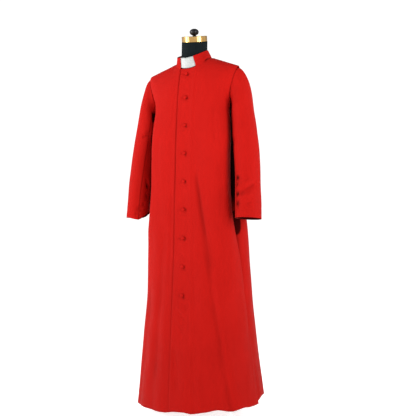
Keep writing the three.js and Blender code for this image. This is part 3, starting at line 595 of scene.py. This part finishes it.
BACK_LEFT = [
    Crease(-0.0034, 0.012, [(0.020, 1.130), (0.076, 1.100), (0.120, 1.060)]),
    Crease(0.0026, 0.012, [(0.030, 1.080), (0.090, 1.045), (0.140, 1.000)]),
    Crease(-0.0030, 0.012, [(0.130, 1.330), (0.098, 1.260), (0.060, 1.200)]),
    Crease(-0.0046, 0.016, [(0.060, 0.980), (0.088, 0.520), (0.104, 0.030)], ends=(0.3, 0)),
    Crease(0.0044, 0.018, [(0.120, 0.900), (0.160, 0.480), (0.190, 0.030)], ends=(0.3, 0)),
    Crease(-0.0040, 0.015, [(0.170, 0.820), (0.206, 0.440), (0.240, 0.030)], ends=(0.3, 0)),
]
BACK_RIGHT = [
    Crease(-0.0030, 0.012, [(-0.024, 1.110), (-0.072, 1.078), (-0.110, 1.050)]),
    Crease(0.0024, 0.012, [(-0.036, 1.060), (-0.096, 1.040), (-0.150, 1.010)]),
    Crease(-0.0028, 0.013, [(-0.126, 1.340), (-0.092, 1.275), (-0.066, 1.220)]),
    Crease(-0.0042, 0.017, [(-0.052, 0.960), (-0.082, 0.500), (-0.096, 0.030)], ends=(0.3, 0)),
    Crease(0.0042, 0.018, [(-0.112, 0.880), (-0.150, 0.460), (-0.176, 0.030)], ends=(0.3, 0)),
    Crease(-0.0038, 0.015, [(-0.178, 0.800), (-0.210, 0.430), (-0.236, 0.030)], ends=(0.3, 0)),
]

HEM_WAVE_BACK = 0.10         # the hem waves as far back as this
HEM_WAVE_TOP = (0.04, 0.22)  # the wave fades out between these heights
# How far the hem waves up and down along the fronts: (across, rise) from right to left.
HEM_WAVES = [(-0.20, 0.0), (-0.07, -0.003), (-0.02, 0.003), (0.02, 0.004), (0.055, -0.003),
             (0.10, 0.002), (0.15, 0.008), (0.205, -0.004), (0.238, 0.004), (0.255, 0.0)]


def hem_wave(co):
    """Lift of the lowest part of the fronts, nothing above the shins."""
    for (x0, rise0), (x1, rise1) in zip(HEM_WAVES, HEM_WAVES[1:]):
        if x0 <= co.x <= x1 and co.y < HEM_WAVE_BACK:
            return mix(rise0, rise1, smooth(x0, x1, co.x)) * (1 - smooth(*HEM_WAVE_TOP, co.z))
    return 0.0


# Buttons, by the middle of each one's place in the frame.
BUTTON_NODES = sorted((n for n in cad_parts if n.startswith("button_")),
                      key=lambda n: -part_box(n)[0].z)
BUTTON_PLACES = [(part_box(n)[0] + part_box(n)[1]) / 2 for n in BUTTON_NODES]

# Edge of the facing, which shows through the left front, and the left front's free edge, both by
# (height, across) from the top down.
FACING_EDGE = [(1.45, 0.046), (1.20, 0.035), (1.00, 0.034), (0.04, 0.056)]
LAP_EDGE = [(1.45, -0.0255), (1.20, -0.0345), (0.75, -0.0385), (0.04, -0.0455)]


def line_at(rows, z, column=1):
    """Reads one column of a short table that runs down, with the height first in each row."""
    for upper, lower in zip(rows, rows[1:]):
        if z >= lower[0]:
            share = min(1.0, max(0.0, (upper[0] - z) / (upper[0] - lower[0])))
            return mix(upper[column], lower[column], share)
    return rows[-1][column]


# What a button does to the cloth: its depth, how far out and down from the middle it lies, and
# its reach. The drawn lines slant down to each side.
BUTTON_DENT = {"depth": 0.0016, "reach": 0.012}
BUTTON_NIP = {"depth": 0.0034, "out": 0.005, "down": 0.006, "reach": 0.0048}
BUTTON_BULGE = {"depth": 0.0020, "down": 0.025, "half_width": 0.015, "half_height": 0.010}
BUTTON_LINE = {"depth": 0.0010, "out": 0.014, "down": 0.004, "slant": 0.25,
               "half_width": 0.012, "half_height": 0.004}
# Painted shade under a button: how dark, how far out and down from the middle, and its reach.
BUTTON_PAINTED_SHADE = {"depth": 0.75, "out": 0.0065, "down": 0.0065, "reach": 0.0050}
BUTTON_AREA = (0.05, 0.06)   # half width and half height of the cloth that a button touches


def button_pull(x, z):
    """Each button dents the cloth, most below its outer side, with a soft bulge under it."""
    dent, nip, bulge, line = BUTTON_DENT, BUTTON_NIP, BUTTON_BULGE, BUTTON_LINE
    depth = 0.0
    for place in BUTTON_PLACES:
        dx, dz = x - place.x, z - place.z
        if abs(dx) > BUTTON_AREA[0] or abs(dz) > BUTTON_AREA[1]:
            continue
        depth -= dent["depth"] * bell(math.hypot(dx, dz), dent["reach"])
        depth -= nip["depth"] * bell(math.hypot(dx - nip["out"], dz + nip["down"]), nip["reach"])
        depth += bulge["depth"] * (bell(dx, bulge["half_width"])
                                   * bell(dz + bulge["down"], bulge["half_height"]))
        for way in (1, -1):
            below = dz + line["down"] - way * line["slant"] * dx
            depth -= line["depth"] * (bell(below, line["half_height"])
                                      * bell(dx - way * line["out"], line["half_width"]))
    return depth


HEM_STITCH = {"front": 0.0008, "back": 0.0006, "cuff": 0.0006, "reach": 0.004}


def hem_line(co, height, word):
    """The shallow line where a hem's or a cuff's turned-up edge is stitched down."""
    return -HEM_STITCH[word] * bell(co.z - height - HEM_DEPTH, HEM_STITCH["reach"])


def front_cloth(co):
    """The fronts' unevenness, which grows from the chest down to the thighs."""
    (high, size), (low, _) = UNEVEN["front"], UNEVEN["front_low"]
    return soft_cloth(co, mix(high, low, smooth(1.30, 0.60, co.z)), size)


# The step at the facing's edge with a ridge inside it, and the ridge along the free edge.
FACING = {"step": 0.0010, "soft": 0.004, "ridge": 0.0009, "inset": 0.007, "reach": 0.0055}
LAP_RIDGE = {"height": 0.0010, "reach": 0.006}


def left_front_depth(co):
    if co.y > SIDE and co.z < SIDE_TOP:
        return soft_cloth(co, *UNEVEN["front_side"])
    past = co.x - line_at(FACING_EDGE, co.z)
    band = (FACING["ridge"] * bell(past + FACING["inset"], FACING["reach"])
            - FACING["step"] * smooth(-FACING["soft"], FACING["soft"], past))
    lap = LAP_RIDGE["height"] * bell(co.x - line_at(LAP_EDGE, co.z), LAP_RIDGE["reach"])
    return (creases(co.x, co.z, LEFT_FRONT) + button_pull(co.x, co.z) + band + lap
            + hem_line(co, FRONT_HEM, "front") + front_cloth(co))


def right_front_depth(co):
    """Plain where it runs on under the left front, with a groove along that edge and a ridge
    beside it, both fainter near the hem."""
    if co.y > SIDE and co.z < SIDE_TOP:
        return soft_cloth(co, *UNEVEN["front_side"])
    lap = co.x - line_at(LAP_EDGE, co.z)
    firm = mix(0.35, 1.0, smooth(0.40, 0.75, co.z))
    beside = firm * (0.0016 * bell(lap + 0.011, 0.005) - 0.0014 * bell(lap + 0.0005, 0.0030))
    under = smooth(-0.006, 0.004, lap)
    return beside + (1 - under) * (creases(co.x, co.z, RIGHT_FRONT)
                                   + hem_line(co, FRONT_HEM, "front") + front_cloth(co))


FREE_LAP = 0.012             # an edge this near to the left front's free edge isn't sewn down


def free_lap(co):
    return abs(co.x - line_at(LAP_EDGE, co.z)) < FREE_LAP


def within(value, low, high, soft):
    """1 between low and high, with soft ends."""
    return smooth(low - soft, low + soft, value) * (1 - smooth(high - soft, high + soft, value))


def button_painted_shade(x, z):
    """The painted shade under the outer side of each button."""
    shade = BUTTON_PAINTED_SHADE
    return max(shade["depth"] * bell(math.hypot(x - place.x - shade["out"], z - place.z + shade["down"]),
                                     shade["reach"])
               for place in BUTTON_PLACES)


# Heights between which the cloth under an arm gets painted shade, and how soft the ends are.
LEFT_FRONT_ARM = (0.885, 1.345, 0.012)
LEFT_BACK_ARM = (0.885, 1.29, 0.04)
RIGHT_ARM = (0.86, 1.29, 0.04)
ARM_PAINTED_SHADE = 0.8              # strength of the painted shade there, where it isn't quite dark
FLANK = 0.10                 # the fronts turn towards the side beyond this
# Painted shade of the pleat's opening below the left cuff, with a rounded foot, and a fainter painted shade
# under it.
CUFF_POCKET_PAINTED_SHADE = {"y": 0.006, "half_width": 0.0165, "round_from": 0.800, "round_depth": 0.044,
               "top": 0.86, "shade": 0.93, "edge": (0.82, 1.08)}
POCKET_FOOT_PAINTED_SHADE = {"shade": 0.30, "y": (0.006, 0.020), "heights": (0.64, 0.78, 0.04)}


def left_front_painted_shade(co):
    """Painted shade on the side under the arm, from the armhole down to the wrist, and under the buttons.
    """
    if co.x < FLANK:
        return button_painted_shade(co.x, co.z)
    start = mix(-0.002, -0.017, smooth(0.90, 0.99, co.z)) + 0.006 * smooth(1.10, 1.24, co.z)
    return smooth(start, start + 0.005, co.y) * within(co.z, *LEFT_FRONT_ARM)


def left_back_painted_shade(co):
    """Painted shade under the arm, and in the round-ended pocket of the pleat below the cuff."""
    arm = (1 - smooth(0.014, 0.026, co.y)) * within(co.z, *LEFT_BACK_ARM)
    below = (1 - smooth(*POCKET_FOOT_PAINTED_SHADE["y"], co.y)) * within(co.z, *POCKET_FOOT_PAINTED_SHADE["heights"])
    pocket = CUFF_POCKET_PAINTED_SHADE
    out = math.hypot((co.y - pocket["y"]) / pocket["half_width"],
                     max(0.0, pocket["round_from"] - co.z) / pocket["round_depth"])
    inside = (1 - smooth(*pocket["edge"], out)) * pocket["shade"] if co.z < pocket["top"] else 0.0
    return max(arm, POCKET_FOOT_PAINTED_SHADE["shade"] * below, inside)


def right_front_painted_shade(co):
    """A thin painted shade along the left front's free edge, and painted shade on the side under the arm.
    """
    lap = co.x - line_at(LAP_EDGE, co.z)
    edge = mix(0.05, 0.34, smooth(0.45, 0.70, co.z)) * bell(lap + 0.0008, 0.0024)
    if co.x > -FLANK:
        return edge
    return max(edge, ARM_PAINTED_SHADE * smooth(-0.012, 0.002, co.y) * within(co.z, *RIGHT_ARM))


def right_back_painted_shade(co):
    # Painted shade on the side under the arm.
    return ARM_PAINTED_SHADE * (1 - smooth(0.012, 0.030, co.y)) * within(co.z, *RIGHT_ARM)


def back_depth(rows):
    def depth(co):
        if co.y < SIDE and co.z < SIDE_TOP:
            return soft_cloth(co, *UNEVEN["back_side"])
        hem = hem_line(co, BACK_HEM, "back")
        return creases(co.x, co.z, rows) + hem + soft_cloth(co, *UNEVEN["back"])
    return depth


PANELS = [
    {"piece": "left_front", "node": "front_left", "flat": (0.40, 1.50), "area": 0.47,
     "depth": left_front_depth, "hollow": left_front_painted_shade, "lift": hem_wave},
    {"piece": "right_front", "node": "front_right", "flat": (0.39, 1.50), "area": 0.46,
     "depth": right_front_depth, "hollow": right_front_painted_shade, "lift": hem_wave},
    {"piece": "left_back", "node": "back_left", "flat": (0.42, 1.50), "area": 0.50,
     "depth": back_depth(BACK_LEFT), "hollow": left_back_painted_shade, "lift": nowhere},
    {"piece": "right_back", "node": "back_right", "flat": (0.42, 1.50), "area": 0.50,
     "depth": back_depth(BACK_RIGHT), "hollow": right_back_painted_shade, "lift": nowhere},
]


def make_panel(row):
    piece = outer_skin(row["piece"], row["node"], CLOTH_WALL)
    refine(piece, FINE)
    drape(piece, row["depth"], free_lap, True, row["lift"], row["hollow"])
    weave_map(piece, (0.0, 0.0), BODY_ROUND)
    thicken(piece, CLOTH_THICK, RED, RED)
    finish(piece, row["node"])


for panel in PANELS:
    make_panel(panel)


# ------------------------------------------------------------------ sleeves
SLEEVE_ROUND = 0.055         # mean radius, turns degrees into a length
SLEEVE_AXIS = 0.24           # how far out a sleeve hangs


def round_sleeve(depth, width, points, ends=(0.25, 0.25)):
    """A crease by points of (turn, height), the turn in degrees from the outer line over the front."""
    return Crease(depth, width, [(math.radians(turn) * SLEEVE_ROUND, z) for turn, z in points], ends)


LEFT_SLEEVE = [
    round_sleeve(-0.0056, 0.009, [(112, 0.916), (98, 0.926), (62, 0.950), (24, 0.974)]),
    round_sleeve(0.0036, 0.010, [(112, 0.944), (90, 0.962), (54, 0.986)]),
    round_sleeve(0.0034, 0.010, [(110, 0.898), (84, 0.914), (50, 0.930)]),
    round_sleeve(-0.0048, 0.009, [(84, 0.888), (66, 0.886), (50, 0.892)], ends=(0.4, 0.4)),
    round_sleeve(-0.0036, 0.006, [(120, 0.986), (108, 0.990), (94, 0.996)]),
    round_sleeve(-0.0028, 0.008, [(118, 0.862), (98, 0.856), (80, 0.858)]),
    round_sleeve(-0.0034, 0.011, [(235, 1.100), (268, 1.086), (300, 1.060)]),
    round_sleeve(-0.0030, 0.011, [(235, 1.060), (262, 1.044), (290, 1.015)]),
    round_sleeve(-0.0026, 0.013, [(150, 1.120), (124, 1.146), (100, 1.160)]),
    round_sleeve(-0.0024, 0.016, [(96, 1.300), (86, 1.200), (84, 1.080)]),
]
RIGHT_SLEEVE = [
    round_sleeve(-0.0052, 0.007, [(140, 1.010), (147, 0.992), (162, 0.958)]),
    round_sleeve(-0.0054, 0.007, [(104, 0.866), (122, 0.879), (152, 0.901)]),
    round_sleeve(-0.0050, 0.006, [(102, 0.846), (119, 0.857), (142, 0.878)]),
    round_sleeve(-0.0048, 0.008, [(132, 1.195), (112, 1.192), (92, 1.182)]),
    round_sleeve(-0.0040, 0.012, [(134, 1.190), (138, 1.100), (142, 1.000)]),
    round_sleeve(-0.0034, 0.011, [(235, 1.110), (266, 1.098), (295, 1.075)]),
    round_sleeve(-0.0030, 0.011, [(235, 1.070), (260, 1.050), (285, 1.020)]),
    round_sleeve(-0.0024, 0.016, [(92, 1.300), (84, 1.200), (80, 1.100)]),
]
# Middle of each sleeve by height: (z, out from the axis, y).
SLEEVE_MIDDLES = {
    "left": [(1.30, 0.215, 0.010), (1.19, 0.227, 0.004), (1.08, 0.244, -0.009), (0.95, 0.254, -0.023),
             (0.825, 0.259, -0.033)],
    "right": [(1.30, 0.216, 0.013), (1.19, 0.229, 0.007), (1.08, 0.243, -0.005), (0.955, 0.254, -0.017),
              (0.836, 0.259, -0.026)],
}
# Puckers in the forearm seam, dented and given painted shade: (z, depth share).
SEAM_PUCKERS = {
    "left": {"turn": 115, "spots": [(0.989, 1.0), (0.963, 0.7), (0.922, 1.0), (0.884, 0.9)]},
    "right": {"turn": 154, "spots": [(0.972, 1.0), (0.930, 0.6)]},
}
# Heights where the painted shade of the gap between the right sleeve and the body is darkest.
RIGHT_ARM_PIECES = [(1.250, 1.292), (1.035, 1.200), (0.853, 1.002)]
# Where the painted shade between the right sleeve and the body begins, (z, y).
RIGHT_ARM_PAINTED_SHADE = [(1.30, -0.037), (1.20, -0.036), (1.03, -0.028), (0.99, -0.020), (0.84, -0.015)]


RIGHT_INNER = -0.225         # cloth nearer to the middle than these faces the body, and takes the gap's painted shade
LEFT_INNER = 0.215
PUCKER_DEPTH = 0.0040
# how dark the painted shade in the puckers is
PUCKER_PAINTED_SHADE = 0.95
PUCKER_REACH = 0.0080
PUCKER_GRAIN = 130           # how fine the puckers' uneven outline is, per metre


def sleeve_turn(co, word):
    """The turn of a point round its sleeve, in degrees from the outer line over the front."""
    rows = SLEEVE_MIDDLES[word]
    out = co.x if word == "left" else -co.x
    return math.degrees(math.atan2(line_at(rows, co.z, 2) - co.y, out - line_at(rows, co.z))) % 360


def pucker(co, word):
    """How far a point lies in one of the seam's puckers, from 0 to 1."""
    row = SEAM_PUCKERS[word]
    side = math.radians(sleeve_turn(co, word) - row["turn"]) * SLEEVE_ROUND
    uneven = 1 + 0.7 * noise.noise(co * PUCKER_GRAIN)
    return max(share * bell(uneven * math.hypot(side, 0.75 * (co.z - z) + 0.25 * side), PUCKER_REACH)
               for z, share in row["spots"])


def right_arm_gap_painted_shade(co):
    """Painted shade of the gap beside the body, darker in some pieces, and a faint painted strip in front
    of it.
    """
    start = line_at(RIGHT_ARM_PAINTED_SHADE, co.z)
    pieces = max(within(co.z, low, high, 0.007) for low, high in RIGHT_ARM_PIECES)
    gap = within(co.y, start + 0.002, 0.012, 0.002) * (0.45 + 0.55 * pieces)
    strip = 0.30 * smooth(start - 0.020, start - 0.008, co.y) * within(co.z, 1.00, 1.21, 0.02)
    return max(gap if co.z < RIGHT_ARM_PAINTED_SHADE[0][0] else 0.0, strip)


# Painted shade on the sleeve's side that faces the body.
def left_arm_gap_painted_shade(co):
    return ARM_PAINTED_SHADE * within(co.y, -0.040, 0.030, 0.010) * within(co.z, 0.86, 1.24, 0.04)


# Painted shade: the seam's puckers, and the gap between the sleeve and the body.
def sleeve_painted_shade(word):
    def hollow(co):
        deepest = PUCKER_PAINTED_SHADE * pucker(co, word)
        if word == "right" and co.x > RIGHT_INNER:
            return max(deepest, right_arm_gap_painted_shade(co))
        if word == "left" and co.x < LEFT_INNER:
            return max(deepest, left_arm_gap_painted_shade(co))
        return deepest
    return hollow


def sleeve_depth(word, rows):
    degree = math.radians(1) * SLEEVE_ROUND

    def depth(co):
        around = sleeve_turn(co, word) * degree
        total = creases(around, co.z, rows) - PUCKER_DEPTH * pucker(co, word)
        total += hem_line(co, CUFF, "cuff")
        return total * smooth(1.40, 1.30, co.z) + soft_cloth(co, *UNEVEN["sleeve"])
    return depth


SLEEVE_PARTS = [
    {"part": "top", "flat": (0.26, 0.68), "area": 0.135},
    {"part": "under", "flat": (0.13, 0.52), "area": 0.056},
]


def make_sleeve(word, rows, axis):
    for row in SLEEVE_PARTS:
        node = f"{row['part']}_sleeve_{word}"
        piece = outer_skin(f"{word}_{row['part']}_sleeve", node, CLOTH_WALL)
        refine(piece, FINE)
        drape(piece, sleeve_depth(word, rows), painted_shade_at=sleeve_painted_shade(word), seam_painted_shade=SLEEVE_GROOVE_PAINTED_SHADE)
        weave_map(piece, (axis, 0.0), LIMB_ROUND)
        # The sleeves' inside takes the lining, whose darkness is partly painted shade.
        thicken(piece, CLOTH_THICK, RED, LINING_WITH_PAINTED_SHADE)
        finish(piece, node)


make_sleeve("left", LEFT_SLEEVE, SLEEVE_AXIS)
make_sleeve("right", RIGHT_SLEEVE, -SLEEVE_AXIS)


# ------------------------------------------------------------------ collar and tab
def collar_depth(co):
    return soft_cloth(co, *UNEVEN["collar"])


FOOT_STEP = 10               # degrees round the neck between two readings of the band's foot
FOOT_STEPS = 360 // FOOT_STEP
FOOT_REACH = 0.014           # height over which the foot's lowering fades out


def neck_turn(co):
    """The turn round the neck from the centre front, in steps."""
    return math.degrees(math.atan2(co.x, -co.y)) / FOOT_STEP


def band_foot(piece):
    """The lowest point of the band by its turn round the neck, read every few degrees."""
    foot = {}
    for vert in piece.data.vertices:
        turn = round(neck_turn(vert.co)) % FOOT_STEPS
        foot[turn] = min(vert.co.z, foot.get(turn, vert.co.z))
    return foot


collar = outer_skin("collar_band", "collar", COLLAR_WALL)
refine(collar, FINE)
COLLAR_FOOT = band_foot(collar)


def collar_foot(co):
    """Sets the band's lower edge down onto the neckline seam, but not beside the front opening."""
    turn = neck_turn(co)
    low, share = math.floor(turn), turn - math.floor(turn)
    here, ahead = COLLAR_FOOT.get(low % FOOT_STEPS), COLLAR_FOOT.get((low + 1) % FOOT_STEPS)
    if here is None or ahead is None:
        return 0.0
    return -COLLAR_SEAT * (1 - smooth(0.0, FOOT_REACH, co.z - mix(here, ahead, share)))


drape(collar, collar_depth, lambda co: True, lift_at=collar_foot)
weave_map(collar, (0.0, 0.001), LIMB_ROUND)
thicken(collar, COLLAR_WALL, RED, RED)
finish(collar, "collar")

tab = outer_skin("tab_insert", "collar_tab", TAB_WALL)
refine(tab, 2)
thicken(tab, TAB_WALL, TAB, TAB)
finish(tab, "collar_tab")


# ------------------------------------------------------------------ buttons
BUTTON_HEIGHT = 0.0054
BUTTON_SIDES = 24
BUTTON_SET = 0.0006          # it sits this far into the cloth
BUTTON_TIP = 0.06            # and faces this much upwards
RIM_PUCKERS = 9
RIM_PUCKER_DEPTH = 0.00018
# Outline of a button from the middle of its dome to the middle of its back: shares of its radius
# and of its height.
BUTTON_DOME = [(0.0, 1.0), (0.35, 0.97), (0.62, 0.86), (0.84, 0.66), (0.96, 0.44), (1.0, 0.28),
               (0.95, 0.12), (0.8, 0.02), (0.0, 0.0)]


def make_button(node, name):
    """A covered button: a domed cap over a shallow turned-under edge, with a puckered rim."""
    low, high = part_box(node)
    middle = (low + high) / 2
    radius = (high.x - low.x) / 2
    form = bmesh.new()
    corners = [form.verts.new((share * radius, 0.0, rise * BUTTON_HEIGHT)) for share, rise in BUTTON_DOME]
    lines = [form.edges.new(pair) for pair in zip(corners, corners[1:])]
    bmesh.ops.spin(form, geom=corners + lines, cent=(0, 0, 0), axis=(0, 0, 1),
                   angle=math.tau, steps=BUTTON_SIDES, use_merge=True)
    bmesh.ops.remove_doubles(form, verts=form.verts, dist=SAME_POINT)
    bmesh.ops.recalc_face_normals(form, faces=form.faces)
    for vert in form.verts:
        turn = math.atan2(vert.co.y, vert.co.x)
        share = math.hypot(vert.co.x, vert.co.y) / radius
        vert.co.z += RIM_PUCKER_DEPTH * smooth(0.5, 0.95, share) * math.sin(RIM_PUCKERS * turn)
    mesh = bpy.data.meshes.new(name)
    form.to_mesh(mesh)
    form.free()
    piece = add_object(name, mesh)
    facing = Vector((0.0, -1.0, BUTTON_TIP)).normalized()
    piece.data.transform(facing.to_track_quat("Z", "Y").to_matrix().to_4x4())
    back = Vector((middle.x, high.y, middle.z))
    for vert in piece.data.vertices:
        vert.co += back - facing * BUTTON_SET
    refine(piece, 1)
    weave_map(piece, (0.0, 0.4), LIMB_ROUND)
    paint(piece.data, RED)
    finish(piece, node)


for number, node in enumerate(BUTTON_NODES, 1):
    make_button(node, f"front_button_{number}")


# ------------------------------------------------------------------ dress form
SHARP_TURN = math.radians(50)        # edges that bend more than this stay sharp
TORSO_BEND = 0.5                     # triangles are joined across bends of less than this


def make_torso():
    """A finer copy of the torso and neck, under jersey."""
    form = bmesh.new()
    form.from_mesh(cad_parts["form_torso"].data)
    bmesh.ops.remove_doubles(form, verts=form.verts, dist=SAME_POINT)
    bmesh.ops.join_triangles(form, faces=form.faces, cmp_seam=False, cmp_sharp=False,
                             cmp_uvs=False, cmp_vcols=False, cmp_materials=False,
                             angle_face_threshold=TORSO_BEND, angle_shape_threshold=ANY_BEND)
    sharp = form.edges.layers.float.new("crease_edge")
    for edge in form.edges:
        edge[sharp] = 1.0 if edge.calc_face_angle(0.0) > SHARP_TURN else 0.0
    mesh = bpy.data.meshes.new("jersey_torso")
    form.to_mesh(mesh)
    form.free()
    piece = add_object("jersey_torso", mesh)
    refine(piece, 2)
    paint(piece.data, JERSEY)
    finish(piece, "form_torso")


make_torso()
for node, material in (("neck_cap", BRASS), ("neck_knob", GLOSS), ("stand_pole", POLE_ENAMEL),
                       ("stand_base", BASE_ENAMEL)):
    paint(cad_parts[node].data, material)


# ------------------------------------------------------------------ studio
def studio_floor():
    form = bmesh.new()
    bmesh.ops.create_circle(form, cap_ends=True, radius=14.0, segments=96)
    mesh = bpy.data.meshes.new("studio_floor")
    form.to_mesh(mesh)
    form.free()
    floor = add_object("studio_floor", mesh)
    board = Board("pale_floor")
    grain = board.noise(board.coords(), 3.0, 2.0)
    floor.data.materials.append(board.surface(
        Base_Color=board.blend(grain, (0.80, 0.80, 0.80, 1), (0.83, 0.83, 0.83, 1)),
        Roughness=0.9,
        Emission_Color=(1, 1, 1, 1),
        Emission_Strength=FLOOR_GLOW))


# Brightness of the room above head height by the turn from the front, in degrees, positive to the
# wearer's left: windows on both sides, darker walls between them and a bright one behind.
ROOM = [
    (-180, 1.0), (-137, 1.0), (-130, 0.15), (-116, 0.15), (-106, 1.15), (-12, 1.25), (8, 0.9), (18, 0.25),
    (31, 0.25), (36, 1.0), (44, 1.0), (54, 0.2), (72, 0.2), (84, 1.1), (118, 1.1), (138, 0.15),
    (163, 0.15), (172, 1.0), (180, 1.0),
]


WALLS_BEGIN = [(0.15, 0.0), (0.22, 1.0)]     # share of ROOM's walls by the sine of the height
ROOM_TOP = [(0.30, 1.0), (0.85, 0.25)]       # brightness by the sine of the height


def studio_world():
    """A white room with the walls of ROOM above head height, darker overhead."""
    board = Board("studio", room=True)
    bpy.context.scene.world = board.owner
    x, y, z = board.axes(board.node("ShaderNodeTexCoord").outputs["Generated"])
    share = x.turn_from(y * -1.0) * (1 / math.tau) + 0.5
    walls = board.grey_ramp(share, [((angle + 180) / 360, light) for angle, light in ROOM])
    around = board.blend(board.grey_ramp(z, WALLS_BEGIN), (1, 1, 1, 1), walls)
    light = board.blend(1.0, around, board.grey_ramp(z, ROOM_TOP), "MULTIPLY")
    glow = board.node("ShaderNodeBackground", None, {0: light, 1: ROOM_LIGHT})
    board.tree.links.new(glow.outputs[0], board.out.inputs[0])


SOFT_BOX_SIZE = (1.4, 1.8)
SOFT_BOX_AIM = Vector((0, 0, 1.1))


def soft_box(name, place, power):
    data = bpy.data.lights.new(name, "AREA")
    data.shape = "RECTANGLE"
    data.size, data.size_y = SOFT_BOX_SIZE
    data.energy = power
    light = add_object(name, data)
    light.location = place
    light.rotation_euler = (SOFT_BOX_AIM - Vector(place)).to_track_quat("-Z", "Y").to_euler()


studio_floor()
studio_world()
soft_box("window_side", (2.7, -1.0, 1.5), 66)
soft_box("far_side", (-2.2, -1.9, 1.5), 74)

# The camera stands off the wearer's left front, below the shoulders, and looks slightly up.
# Angles are in degrees, the lens in millimetres.
CAMERA = {"around": 25.1, "distance": 3.112, "height": 0.716, "up": 2.92, "right": 1.06, "lens": 63.24}
SENSOR = 36.0


def place_camera():
    data = bpy.data.cameras.new("camera")
    camera = add_object("camera", data)
    around = math.radians(CAMERA["around"])
    right = Vector((math.cos(around), math.sin(around), 0))
    forward = Vector((-math.sin(around), math.cos(around), 0))
    camera.location = -forward * CAMERA["distance"] + Vector((0, 0, CAMERA["height"]))
    sight = (forward + right * math.tan(math.radians(CAMERA["right"]))).normalized()
    up = math.radians(CAMERA["up"])
    sight = sight * math.cos(up) + Vector((0, 0, math.sin(up)))
    camera.rotation_euler = sight.to_track_quat("-Z", "Y").to_euler()
    data.sensor_width = SENSOR
    data.lens = CAMERA["lens"]
    data.clip_end = 100.0
    bpy.context.scene.camera = camera


place_camera()
bpy.context.scene.view_settings.view_transform = "Standard"
